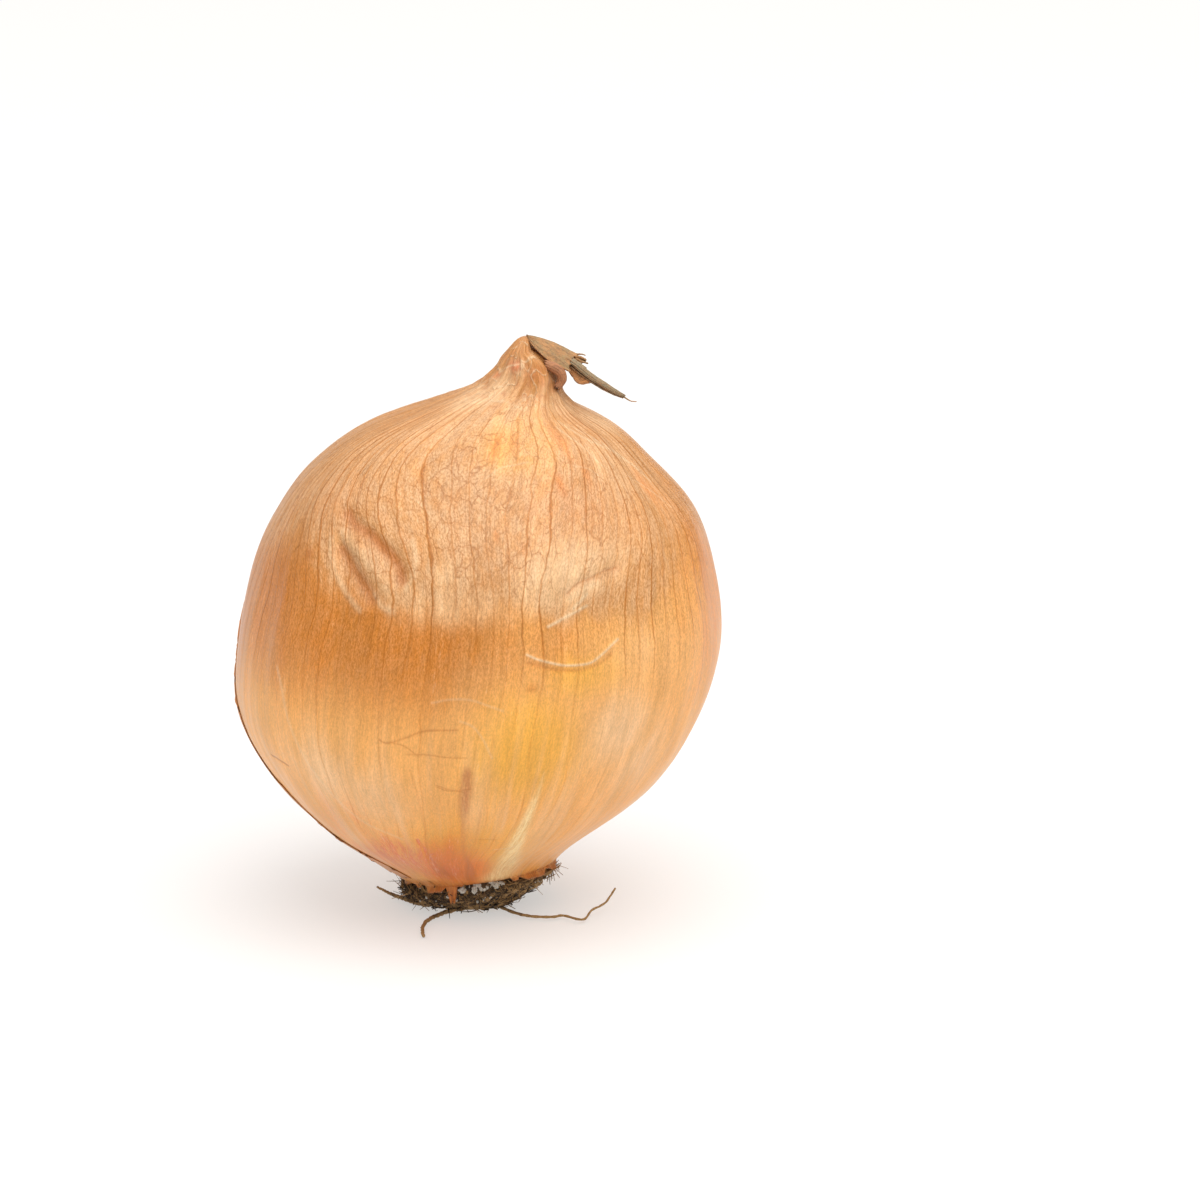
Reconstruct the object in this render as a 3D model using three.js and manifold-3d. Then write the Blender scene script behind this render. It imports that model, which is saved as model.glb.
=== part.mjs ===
import * as THREE from "three";
import { mergeVertices } from "three/addons/utils/BufferGeometryUtils.js";
import Module from "manifold-3d";

// A brown-skinned cooking onion that stands on its root plate.
// Millimetres, +Z up, +X to the onion's right and -Y to its front. The origin is the middle of the flat
// spot that it rests on. Azimuths are in degrees about +Z, from +X: 90 is the back, 180 the left, 270 the front.

const wasm = await Module();
wasm.setup();

// ---- Driving dimensions -----------------------------------------------------------------------------

// Levels of the bulb, from the rim of the root plate to the top of the neck: height above the table, radius
// across, radius from front to back, and how far the middle of the level stands to the right of the origin.
const BULB_LEVELS = [
  { z: 5.6, across: 12.6, deep: 12.6, shift: 1.6 },
  { z: 9.5, across: 17.2, deep: 17.0, shift: 0.5 },
  { z: 14, across: 22.8, deep: 22.4, shift: -0.8 },
  { z: 22, across: 31.0, deep: 30.3, shift: -0.3 },
  { z: 32, across: 37.1, deep: 36.4, shift: 0.2 },
  { z: 44, across: 39.4, deep: 38.8, shift: 1.6 },
  { z: 55, across: 38.0, deep: 37.5, shift: 2.4 },
  { z: 66, across: 33.9, deep: 33.5, shift: 2.7 },
  { z: 74, across: 27.3, deep: 27.0, shift: 2.4 },
  { z: 80, across: 19.9, deep: 19.7, shift: 3.6 },
  { z: 84, across: 11.3, deep: 11.5, shift: 5.5 },
  { z: 86.5, across: 7.3, deep: 7.7, shift: 7.8 },
  { z: 89, across: 5.3, deep: 6.3, shift: 9.2 },
  { z: 91.5, across: 3.5, deep: 5.0, shift: 9.2 },
  { z: 93, across: 1.7, deep: 4.0, shift: 8.7 },
];
const BULB_SIDES = 88;
const BULB_RINGS = 38;
const CLEARANCE = 0.32; // between pieces that touch
const FINEST = 0.02; // joined pieces keep no edge shorter than this
const WELD = 1e-4; // vertices nearer than this are one
const ON_AXIS = 1e-6; // vertices nearer than this to the axis of a lathed shape lie on it
const SLOPE_STEP = 0.5; // degrees or millimetres, to either side of where a slope is taken

// Slow swells round the bulb with a quicker set on them, and the heights that they come in and go over.
const SWELLS = {
  depth: 0.35,
  waves: 3,
  turned: 0.6,
  quickWaves: 7,
  quickShare: 0.6,
  twist: 14,
  comeIn: [6, 22],
  go: [78, 88],
};

// Gathers of the skin where it draws in to the neck. They sway from side to side on their way up.
const PLEATS = {
  depth: 0.2,
  count: 16,
  sway: 0.9,
  swayWaves: 3,
  swayTwist: 5,
  comeIn: [76, 86],
  soften: [91, 94],
  softened: 0.6,
};

// The rim of the root plate stands higher on the right and at the front, and lower on the left and behind.
const RIM_TILT = 1.7;
const RIM_NOD = 1.1;
const RIM_FADES = 18; // height over which the skin evens that out

// Broad dents of the skin: the middle of each, its tilt from level, half its length and width, and its depth.
const DENTS = [
  { azimuth: 240, z: 67.3, tilt: -34, length: 7.5, width: 2.2, depth: 0.5 },
  { azimuth: 236.5, z: 63, tilt: -38, length: 6, width: 2.2, depth: 0.5 },
  { azimuth: 296, z: 57.5, tilt: 8, length: 7, width: 4, depth: 0.45 },
  { azimuth: 120, z: 58, tilt: 35, length: 9, width: 3, depth: 0.6 },
  { azimuth: 20, z: 40, tilt: -60, length: 9, width: 3, depth: 0.5 },
];

const PLATE = {
  footRadius: 7,
  rimRadius: 12.5,
  underRim: 3.8,
  rimTop: 4.7,
  topRadius: 11.8,
  flare: 0.35, // height of the underside half way out, as a share of its height under the rim
  roundedIn: 0.4, // the rim's lower corner is drawn in by this
  roundedUp: 0.8, // and stands at this share of the height under the rim
  rough: 0.035, // how far the rim wanders, as a share of its radius
  roughWaves: 7,
  sides: 48,
};
const FOOT_SPARE = 0.3; // below the table, cut off to leave the flat spot
const TABLE = { width: 120, thickness: 20 };
const GOLDEN_ANGLE = 137.5;

// Broken rootlets, from an inner ring on the underside of the plate out to its rim. They fan out downwards.
const STUBS = {
  count: 96,
  shortest: 1.6,
  longest: 3.6,
  radius: 0.42,
  tipRadius: 0.2,
  sides: 4,
  innerRing: 0.82, // as a share of the foot's radius
  sunk: 0.9, // how deep the foot of each is in the plate
  leastFall: 0.15, // how much each points down, the spread of that, and how much less it is towards the rim
  fallSpread: 0.75,
  fallByRing: 0.5,
  levelRing: 0.7,
  swirl: 0.9, // radians that their directions spread over
  lowest: 0.15, // height of the inner ring, as a share of the height under the rim
  below: 0.9, // how high they start, as a share of the height of the underside
  followsRim: 0.5, // how far they move with the rim's middle
  seeds: { length: 11, fall: 301, swirl: 607 },
};

// Whole dry roots, from where they leave the plate to their tips.
const LONG_ROOTS = [
  {
    path: [[2.5, -3.2, 1.8], [5, -6.6, 0.9], [8.2, -9.9, 0.7], [10.5, -11.2, 0.7], [13.7, -11.5, 0.7],
      [15.6, -10.8, 0.7], [18.6, -13.2, 0.8], [20.1, -10, 1.3], [22.4, -8.3, 2.2], [24, -7, 4.2]],
    radius: 0.5, tipRadius: 0.3,
  },
  {
    path: [[-0.6, -4, 1.9], [-2.1, -8.2, 1.1], [-4.2, -9.8, 0.8], [-6, -11.9, 0.65], [-7, -14.3, 0.6],
      [-7.3, -17.5, 0.55], [-7, -20.8, 0.5]],
    radius: 0.6, tipRadius: 0.4,
  },
  {
    path: [[-4, -4.5, 1.9], [-6.4, -6.2, 1.2], [-8.8, -4.8, 1], [-10.9, -2.4, 0.9], [-12.9, -0.5, 1],
      [-14.2, 0.6, 1.3], [-15.4, 1, 1.8]],
    radius: 0.85, tipRadius: 0.3,
  },
  {
    path: [[4, 4.5, 1.9], [6.5, 8, 0.9], [8, 12.5, 0.6], [12, 16, 0.6], [13, 20, 0.9]],
    radius: 0.5, tipRadius: 0.3,
  },
  {
    path: [[-4, 5, 1.9], [-6.5, 8.5, 0.9], [-11, 11.5, 0.6], [-13, 16, 0.7]],
    radius: 0.55, tipRadius: 0.3,
  },
];
const ROOT_SIDES = 5;
const ROOT_STEPS = 16;
const ROOT_THINS = 0.45; // how far a root has thinned by its middle, as a share of the way to its tip
const ROOT_KNOTS = [1.08, 0.92, 1.1]; // swellings on the way

// The withered leaf: the flattened top of the neck, folded over to the right, and what hangs from its end.
const LEAF_FOLD = {
  path: [[8.3, 0, 93.3], [9.4, 0, 93.7], [11.3, -0.1, 93.3], [15, -0.2, 91.8], [18.4, -0.4, 90.4]],
  halfWidths: [3.9, 3.7, 3.3, 3, 2.8],
  halfThicknesses: [0.42, 0.42],
  roll: 16, // degrees towards the front
  sides: 14,
  steps: 10,
};
const LEAF_SHRED = {
  path: [[16.4, -1.4, 91.9], [17.5, -1.9, 91.2], [19, -2, 89.8], [21, -2.1, 88.2], [24.3, -2.1, 85.8],
    [25.9, -2.1, 85.1]],
  halfWidths: [1.2, 1.2, 1, 0.9, 0.6, 0.32],
  halfThicknesses: [0.7, 0.8, 0.8, 0.7, 0.5, 0.32],
  roll: 35,
  sides: 7,
  steps: 12,
};
const LEAF_FLAP = {
  path: [[16.4, -0.9, 91.7], [17.1, -1, 90.4], [17.9, -1.2, 89], [18.9, -1.3, 87.9]],
  halfWidths: [1.2, 1.5, 1.3, 0.7],
  halfThicknesses: [0.34, 0.34],
  roll: 60,
  sides: 7,
  steps: 5,
};
const TORN_TEETH = [
  { across: -2.4, reach: 0.7 },
  { across: -0.9, reach: 1.6 },
  { across: 0.8, reach: 0.9 },
  { across: 2.2, reach: 2.1 },
];
const TOOTH = {
  sunk: 1.5,
  splay: 1.1,
  halfWidths: [0.8, 0.32],
  halfThicknesses: [0.34, 0.34],
  sides: 5,
  steps: 1,
};

// A curled scrap of skin on the right of the neck, below the fold.
const NECK_CURL = {
  path: [[11.5, -1.6, 90.6], [14.2, -1.8, 90], [15.2, -1.8, 88.6], [14.3, -2, 86.8], [12.4, -1.9, 86.2]],
  halfWidths: [1.2, 1.6, 1.5, 1.3, 1],
  halfThicknesses: [0.75, 0.75],
  roll: 0,
  sides: 8,
  steps: 8,
};

// The loose outer skin that still wraps the back, from its torn left edge to its torn right edge.
const LOOSE = {
  leftEdge: [224, 203, 195, 186, 170], // azimuths of the left edge, from the foot of the sheet to its top
  rightEdge: [62, 66, 58, 70, 84],
  foot: 7.6,
  top: [58, 66, 68, 61, 50], // heights of the top edge, from right to left
  thickness: 0.65,
  spare: 0.08, // clearance over the least
  clearedTop: [66, 76], // the bulb is slimmer under the sheet, up to these heights
  clearedEdge: [-6, 4], // and from this many degrees outside its edges to this many within them
  across: 38,
  up: 18,
};

// How far each torn edge wanders, how quickly, and where its waves start.
const TEARS = {
  left: { reach: 1.1, waves: 23, start: 0 },
  right: { reach: 2.64, waves: 19, start: 4 },
  foot: { reach: 0.8, waves: 31, start: 0 },
  top: { reach: 1.76, waves: 27, start: 2 },
};

// How far the edges of the sheet stand off the bulb, and the share of the sheet that lies flat before that.
const CURLS = {
  top: { rise: 1.3, flat: 0.8 },
  right: { rise: 0.46, flat: 0.92 },
};
const CURL_SETTLES = [0.5, 0.85]; // shares of the way to the left edge between which the curl dies away
const CURL_LEFT = 0.08; // and what is left of it

const SKIN = { color: 0xd9a066, roughness: 0.45 };
const MATTED_ROOT = { color: 0x4a3a28, roughness: 0.95 };
const DEAD_LEAF = { color: 0x9c8560, roughness: 0.8 };
const DRY_SKIN = { color: 0xc98a5a, roughness: 0.5 };

// ---- Shared shapes ----------------------------------------------------------------------------------

const radians = THREE.MathUtils.degToRad;
const random = (seed) => THREE.MathUtils.seededRandom(seed);
const ease = (from, to, x) => THREE.MathUtils.smoothstep(x, from, to);
const vectors = (points) => points.map((p) => new THREE.Vector3(...p));

// A value that runs smoothly through a short list, for t from 0 to 1.
function through(values) {
  const at = values.map((_, i) => i / (values.length - 1));
  const curve = new THREE.CubicInterpolant(at, values, 1);
  return (t) => curve.evaluate(t)[0];
}

// A wandering line with no repeat that shows, for torn edges, within about -1 to 1.
const wander = (x) => 0.5 * Math.sin(x) + 0.3 * Math.sin(2.3 * x + 1.1) + 0.2 * Math.sin(5.1 * x + 2.6);

function solidOf(geometry) {
  const bare = new THREE.BufferGeometry().setAttribute("position", geometry.getAttribute("position"));
  bare.setIndex(geometry.index);
  const merged = mergeVertices(bare, WELD);
  return new wasm.Manifold(
    new wasm.Mesh({
      numProp: 3,
      vertProperties: merged.attributes.position.array,
      triVerts: new Uint32Array(merged.index.array),
    }),
  );
}

function geometryOf(solid) {
  const mesh = solid.simplify(FINEST).getMesh();
  const geometry = new THREE.BufferGeometry()
    .setAttribute("position", new THREE.BufferAttribute(mesh.vertProperties, 3))
    .setIndex(new THREE.BufferAttribute(mesh.triVerts, 1));
  geometry.computeVertexNormals();
  return geometry;
}

// The largest closed surface of a solid, which fills any hollow that joining sealed and drops any scrap.
const outermost = (solid) => solid.decompose().sort((a, b) => b.volume() - a.volume())[0];

// A strip of oval section bent along a path: a lathed rod of unit size whose rings are moved onto the path.
function buildStrip({ path, halfWidths, halfThicknesses, roll, sides, steps }) {
  const curve = new THREE.CatmullRomCurve3(vectors(path), false, "centripetal");
  const halfWidth = through(halfWidths);
  const halfThickness = through(halfThicknesses);
  const profile = [new THREE.Vector2(0, 0)];
  for (let i = 0; i <= steps; i++) profile.push(new THREE.Vector2(1, i / steps));
  profile.push(new THREE.Vector2(0, 1));
  const geometry = new THREE.LatheGeometry(profile, sides);
  const position = geometry.getAttribute("position");
  const up = new THREE.Vector3(0, 0, 1);
  for (let i = 0; i < position.count; i++) {
    const t = position.getY(i);
    const point = curve.getPoint(t);
    const along = curve.getTangent(t);
    const level = new THREE.Vector3().crossVectors(along, up).normalize();
    const side = level.applyAxisAngle(along, radians(roll));
    const over = new THREE.Vector3().crossVectors(side, along);
    point.addScaledVector(side, position.getX(i) * halfWidth(t));
    point.addScaledVector(over, position.getZ(i) * halfThickness(t));
    position.setXYZ(i, point.x, point.y, point.z);
  }
  return solidOf(geometry);
}

// ---- Bulb -------------------------------------------------------------------------------------------

const bulbLevels = new THREE.CubicInterpolant(
  BULB_LEVELS.map((level) => level.z),
  BULB_LEVELS.flatMap((level) => [level.across, level.deep, level.shift]),
  3,
);
const LOWEST = BULB_LEVELS[0];
const HIGHEST = BULB_LEVELS[BULB_LEVELS.length - 1];

const looseLeft = through(LOOSE.leftEdge);
const looseRight = through(LOOSE.rightEdge);
const looseTop = through(LOOSE.top);

// How much slimmer the bulb is where the loose skin lies on it, so that the two together keep the outline.
function slimming(z, azimuth) {
  const share = THREE.MathUtils.clamp((z - LOOSE.foot) / (Math.max(...LOOSE.top) - LOOSE.foot), 0, 1);
  const turn = THREE.MathUtils.euclideanModulo(azimuth, 360);
  const fromLeft = ease(...LOOSE.clearedEdge, looseLeft(share) - turn);
  const fromRight = ease(...LOOSE.clearedEdge, turn - looseRight(share));
  return (CLEARANCE + LOOSE.thickness) * fromLeft * fromRight * (1 - ease(...LOOSE.clearedTop, z));
}

// Heights of the slow swells and of the gathers; angles are in radians.
function swell(z, angle) {
  const { depth, waves, turned, quickWaves, quickShare, twist, comeIn, go } = SWELLS;
  const slow = Math.cos(waves * angle + turned);
  const quick = quickShare * Math.cos(quickWaves * angle + z / twist);
  return depth * ease(...comeIn, z) * (1 - ease(...go, z)) * (slow + quick);
}

function pleat(z, angle) {
  const { depth, count, sway, swayWaves, swayTwist, comeIn, soften, softened } = PLEATS;
  const gathered = ease(...comeIn, z) * (1 - softened * ease(...soften, z));
  const sideways = sway * Math.sin(swayWaves * angle + z / swayTwist);
  return depth * gathered * Math.cos(count * angle + sideways);
}

// How far the skin stands out from its plain round form at a height and azimuth.
function relief(z, azimuth) {
  let out = swell(z, radians(azimuth)) + pleat(z, radians(azimuth));
  const radius = bulbLevels.evaluate(z)[0];
  for (const dent of DENTS) {
    const turn = THREE.MathUtils.euclideanModulo(azimuth - dent.azimuth + 180, 360) - 180;
    const across = radians(turn) * radius;
    const rise = z - dent.z;
    const tilt = radians(dent.tilt);
    const along = (across * Math.cos(tilt) + rise * Math.sin(tilt)) / dent.length;
    const off = (rise * Math.cos(tilt) - across * Math.sin(tilt)) / dent.width;
    out -= dent.depth * Math.exp(-along * along * along * along - off * off);
  }
  return out - slimming(z, azimuth);
}

// How much the rim of the root plate is raised at an azimuth, in radians.
const rimSlope = (angle) => RIM_TILT * Math.cos(angle) - RIM_NOD * Math.sin(angle);
const rimRise = (z, azimuth) => rimSlope(radians(azimuth)) * (1 - ease(LOWEST.z, RIM_FADES, z));

function skinPoint(z, azimuth) {
  const [across, deep, shift] = bulbLevels.evaluate(z);
  const angle = radians(azimuth);
  const out = relief(z, azimuth);
  return new THREE.Vector3(
    shift + (across + out) * Math.cos(angle),
    (deep + out) * Math.sin(angle),
    z + rimRise(z, azimuth),
  );
}

// The outward direction of the skin at a height and azimuth.
function skinNormal(z, azimuth) {
  const round = skinPoint(z, azimuth + SLOPE_STEP).sub(skinPoint(z, azimuth - SLOPE_STEP));
  const rising = skinPoint(z + SLOPE_STEP, azimuth).sub(skinPoint(z - SLOPE_STEP, azimuth));
  return round.cross(rising).normalize();
}

function buildBulb() {
  const corners = BULB_LEVELS.map((level) => new THREE.Vector2(level.across, level.z));
  const profile = new THREE.SplineCurve(corners).getSpacedPoints(BULB_RINGS);
  profile.unshift(new THREE.Vector2(0, LOWEST.z));
  profile.push(new THREE.Vector2(0, HIGHEST.z));
  const geometry = new THREE.LatheGeometry(profile, BULB_SIDES);
  const position = geometry.getAttribute("position");
  for (let i = 0; i < position.count; i++) {
    const z = position.getY(i);
    const onAxis = Math.hypot(position.getX(i), position.getZ(i)) < ON_AXIS;
    const azimuth = THREE.MathUtils.radToDeg(Math.atan2(-position.getZ(i), position.getX(i)));
    const point = onAxis ? new THREE.Vector3(bulbLevels.evaluate(z)[2], 0, z) : skinPoint(z, azimuth);
    position.setXYZ(i, point.x, point.y, point.z);
  }
  const underLeaf = buildStrip({
    ...LEAF_FOLD,
    halfWidths: LEAF_FOLD.halfWidths.map((halfWidth) => halfWidth + CLEARANCE),
    halfThicknesses: LEAF_FOLD.halfThicknesses.map((halfThickness) => halfThickness + CLEARANCE),
  });
  return outermost(solidOf(geometry).add(buildStrip(NECK_CURL)).subtract(underLeaf));
}

// ---- Root plate -------------------------------------------------------------------------------------

// The plate's top follows the rim of the bulb, lower by the clearance.
function buildPlateBody() {
  const { footRadius, rimRadius, underRim, rimTop, topRadius, flare, roundedIn, roundedUp } = PLATE;
  const top = LOWEST.z - CLEARANCE;
  const profile = [
    [0, -FOOT_SPARE],
    [footRadius, -FOOT_SPARE],
    [(footRadius + rimRadius) / 2, underRim * flare],
    [rimRadius - roundedIn, underRim * roundedUp],
    [rimRadius, (underRim + rimTop) / 2],
    [topRadius, top],
    [0, top],
  ].map(([radius, z]) => new THREE.Vector2(radius, z));
  const geometry = new THREE.LatheGeometry(profile, PLATE.sides);
  const position = geometry.getAttribute("position");
  for (let i = 0; i < position.count; i++) {
    const radius = Math.hypot(position.getX(i), position.getZ(i));
    const z = position.getY(i);
    const angle = Math.atan2(-position.getZ(i), position.getX(i));
    const rough = 1 + PLATE.rough * wander(PLATE.roughWaves * Math.cos(angle) + z) * ease(0, 1, z);
    const lean = z > rimTop ? radius / LOWEST.across : ease(footRadius, LOWEST.across, radius);
    position.setXYZ(
      i,
      LOWEST.shift * ease(0, LOWEST.z, z) + radius * rough * Math.cos(angle),
      radius * rough * Math.sin(angle),
      z + rimSlope(angle) * lean,
    );
  }
  return solidOf(geometry);
}

// One broken rootlet, a four-sided spike with its foot sunk in the plate.
function buildStub(index) {
  const { count, shortest, longest, radius, tipRadius, sides, sunk, seeds } = STUBS;
  const azimuth = radians(index * GOLDEN_ANGLE);
  const spread = Math.sqrt((index + 0.5) / count);
  const ring = THREE.MathUtils.lerp(PLATE.footRadius * STUBS.innerRing, PLATE.rimRadius, spread);
  const length = THREE.MathUtils.lerp(shortest, longest, random(index + seeds.length));
  const spike = new THREE.CylinderGeometry(tipRadius, radius, length, sides);
  spike.translate(0, length / 2 - sunk, 0);
  const steepness = STUBS.leastFall + STUBS.fallSpread * random(index + seeds.fall);
  const fall = STUBS.fallByRing * (spread - STUBS.levelRing) - steepness;
  const swirl = azimuth + STUBS.swirl * (random(index + seeds.swirl) - 0.5);
  const direction = new THREE.Vector3(Math.cos(swirl), Math.sin(swirl), fall).normalize();
  spike.applyQuaternion(new THREE.Quaternion().setFromUnitVectors(new THREE.Vector3(0, 1, 0), direction));
  const rise = THREE.MathUtils.lerp(STUBS.lowest, 1, ease(PLATE.footRadius, PLATE.rimRadius, ring));
  const lean = ease(PLATE.footRadius, LOWEST.across, ring);
  spike.translate(
    LOWEST.shift * lean * STUBS.followsRim + (ring - sunk) * Math.cos(azimuth),
    (ring - sunk) * Math.sin(azimuth),
    PLATE.underRim * rise * STUBS.below + rimSlope(azimuth) * lean,
  );
  return solidOf(spike);
}

function buildLongRoot({ path, radius, tipRadius }) {
  const thinned = THREE.MathUtils.lerp(radius, tipRadius, ROOT_THINS);
  const [early, late, last] = ROOT_KNOTS;
  const sizes = [radius, thinned * early, thinned * late, tipRadius * last, tipRadius];
  return buildStrip({
    path, halfWidths: sizes, halfThicknesses: sizes, roll: 0, sides: ROOT_SIDES, steps: ROOT_STEPS,
  });
}

function buildRootPlate() {
  let plate = buildPlateBody();
  for (let i = 0; i < STUBS.count; i++) plate = plate.add(buildStub(i));
  for (const root of LONG_ROOTS) plate = plate.add(buildLongRoot(root));
  const table = new THREE.BoxGeometry(TABLE.width, TABLE.width, TABLE.thickness);
  return outermost(plate.subtract(solidOf(table.translate(0, 0, -TABLE.thickness / 2))));
}

// ---- Withered leaf ----------------------------------------------------------------------------------

// A tooth of the fold's torn end.
function buildTooth({ across, reach }) {
  const { sunk, splay, ...section } = TOOTH;
  const [before, end] = vectors(LEAF_FOLD.path.slice(-2));
  const along = end.clone().sub(before).normalize();
  const droop = Math.tan(radians(LEAF_FOLD.roll)) * across;
  const foot = end.clone().addScaledVector(along, -sunk).add(new THREE.Vector3(0, across, droop));
  const tip = end.clone().addScaledVector(along, reach).add(new THREE.Vector3(0, across * splay, droop));
  return buildStrip({ ...section, path: [foot.toArray(), tip.toArray()], roll: LEAF_FOLD.roll });
}

function buildWitheredLeaf() {
  let leaf = buildStrip(LEAF_FOLD).add(buildStrip(LEAF_SHRED)).add(buildStrip(LEAF_FLAP));
  for (const tooth of TORN_TEETH) leaf = leaf.add(buildTooth(tooth));
  return outermost(leaf);
}

// ---- Loose skin -------------------------------------------------------------------------------------

const torn = (tear, x) => tear.reach * wander(tear.waves * x + tear.start);
const curled = (curl, x) => curl.rise * ease(curl.flat, 1, x);

// A thin closed sheet laid over the bulb. Its inner and outer face are split into triangles alike.
function buildLooseSkin() {
  const { across, up, thickness, spare, foot } = LOOSE;
  const face = new THREE.PlaneGeometry(1, 1, across, up);
  const uv = face.getAttribute("uv");
  const count = uv.count;
  const points = new Float32Array(count * 6);
  for (let i = 0; i < count; i++) {
    const u = uv.getX(i);
    const v = uv.getY(i);
    const right = looseRight(v) + torn(TEARS.right, v);
    const left = looseLeft(v) + torn(TEARS.left, v);
    const azimuth = THREE.MathUtils.lerp(right, left, u);
    const z = THREE.MathUtils.lerp(foot + torn(TEARS.foot, u), looseTop(u) + torn(TEARS.top, u), v);
    const settled = THREE.MathUtils.lerp(1, CURL_LEFT, ease(...CURL_SETTLES, u));
    const lift = CLEARANCE + spare + settled * Math.max(curled(CURLS.top, v), curled(CURLS.right, 1 - u));
    const normal = skinNormal(z, azimuth);
    skinPoint(z, azimuth).addScaledVector(normal, lift + thickness).toArray(points, i * 3);
    skinPoint(z, azimuth).addScaledVector(normal, lift).toArray(points, (count + i) * 3);
  }
  const outer = Array.from(face.index.array);
  const faces = [];
  for (let i = 0; i < outer.length; i += 3) {
    const [a, b, c] = outer.slice(i, i + 3);
    faces.push(a, b, c, count + c, count + b, count + a);
  }
  const columns = across + 1;
  const border = [];
  for (let i = 0; i < across; i++) border.push(i);
  for (let j = 0; j < up; j++) border.push(j * columns + across);
  for (let i = across; i > 0; i--) border.push(up * columns + i);
  for (let j = up; j > 0; j--) border.push(j * columns);
  border.forEach((a, i) => {
    const b = border[(i + 1) % border.length];
    faces.push(a, b, count + b, a, count + b, count + a);
  });
  const sheet = new THREE.BufferGeometry().setAttribute("position", new THREE.BufferAttribute(points, 3));
  sheet.setIndex(faces);
  return solidOf(sheet);
}

// ---- Assembly ---------------------------------------------------------------------------------------

function piece(name, solid, finish) {
  const material = new THREE.MeshStandardMaterial({ ...finish, metalness: 0 });
  const mesh = new THREE.Mesh(geometryOf(solid), material);
  mesh.name = name;
  return mesh;
}

const onion = new THREE.Group();
onion.name = "onion";
onion.add(
  piece("bulb", buildBulb(), SKIN),
  piece("root_plate", buildRootPlate(), MATTED_ROOT),
  piece("withered_leaf", buildWitheredLeaf(), DEAD_LEAF),
  piece("loose_skin", buildLooseSkin(), DRY_SKIN),
);

export default onion;
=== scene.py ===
"""A brown cooking onion: papery skin, loose outer skin, withered leaf and root mat, dressed round its solids.

Metres, +Z up, +X to the onion's right and -Y to its front. Tables of sizes are in millimetres and azimuths
are in degrees about +Z, from +X: 90 is the back, 180 the left, 270 the front.
"""

import math
import random
from contextlib import contextmanager

import bpy
import numpy as np
from bpy.props import FloatProperty, FloatVectorProperty, IntProperty, PointerProperty
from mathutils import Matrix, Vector


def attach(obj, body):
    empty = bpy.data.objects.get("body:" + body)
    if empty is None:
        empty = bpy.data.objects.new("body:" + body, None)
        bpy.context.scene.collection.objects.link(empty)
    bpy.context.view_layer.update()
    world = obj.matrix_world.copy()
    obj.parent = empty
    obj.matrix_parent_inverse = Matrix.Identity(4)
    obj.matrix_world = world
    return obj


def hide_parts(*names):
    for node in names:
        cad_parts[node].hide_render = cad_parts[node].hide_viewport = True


bl_info = {
    "name": "Brown Onion",
    "version": (1, 0, 0),
    "blender": (4, 5, 0),
    "location": "View3D > Sidebar > Onion",
    "description": "Dresses the onion's solids with papery skin, a withered leaf and a mat of dry roots",
    "category": "Object",
}

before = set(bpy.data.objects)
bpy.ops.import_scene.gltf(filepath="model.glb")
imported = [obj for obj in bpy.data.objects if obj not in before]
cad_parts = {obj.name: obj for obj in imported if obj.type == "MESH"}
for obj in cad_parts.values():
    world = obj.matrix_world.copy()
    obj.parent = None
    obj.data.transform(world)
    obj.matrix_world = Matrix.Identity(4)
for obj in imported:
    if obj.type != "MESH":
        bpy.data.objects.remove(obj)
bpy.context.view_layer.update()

MM = 0.001
BODY = "root"

# ---- Sizes shared with the solids --------------------------------------------------------------------------

# Height above the table, radius across, radius from front to back, and the middle's shift to the right.
BULB_LEVELS = (
    (5.6, 12.6, 12.6, 1.6), (9.5, 17.2, 17, 0.5), (14, 22.8, 22.4, -0.8), (22, 31, 30.3, -0.3),
    (32, 37.1, 36.4, 0.2), (44, 39.4, 38.8, 1.6), (55, 38, 37.5, 2.4), (66, 33.9, 33.5, 2.7),
    (74, 27.3, 27, 2.4), (80, 19.9, 19.7, 3.6), (84, 11.3, 11.5, 5.5), (86.5, 7.3, 7.7, 7.8),
    (89, 5.3, 6.3, 9.2), (91.5, 3.5, 5, 9.2), (93, 1.7, 4, 8.7),
)
FOOT_Z, FOOT_RADIUS, _, FOOT_SHIFT = BULB_LEVELS[0]
NECK_Z = BULB_LEVELS[-1][0]
GIRTH_RADIUS = 39.4
BULB_SIDES = 88
BULB_RINGS = 40
OUT_OF_ROUND = 0.35
PLEAT_COUNT = 16
PLEAT_DEPTH = 0.2
RIM_TILT = 1.7
RIM_NOD = 1.1
RIM_FADES = 18
DOME_RISE = 1.9
DOME_LEAN = 1.0
FAN_PULL = 38
FAN_WIDTH = 75
FOOT_SLIP = 10
# Heights that differ by less than this are one level.
SAME_HEIGHT = 0.01

# Broad dents: azimuth and height of the middle, tilt from level, half length, half width, depth.
DENTS = (
    (240, 67.3, -34, 7.5, 1.7, 0.5), (236.5, 63, -38, 6, 1.6, 0.5), (296, 57.5, 8, 7, 4, 0.45),
    (120, 58, 35, 9, 3, 0.6), (20, 40, -60, 9, 3, 0.5),
)
LOOSE_LEFT = (224, 203, 195, 186, 170)
LOOSE_RIGHT = (62, 66, 58, 70, 84)
LOOSE_TOP = (58, 66, 68, 61, 50)
LOOSE_FOOT = 7.6
LOOSE_CLEARED = (66, 76)
LOOSE_RAGGED = 1.1
LOOSE_CURL = 1.3
UNDER_LOOSE = 0.22

# ---- Lines and patches on the skin -------------------------------------------------------------------------

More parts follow.
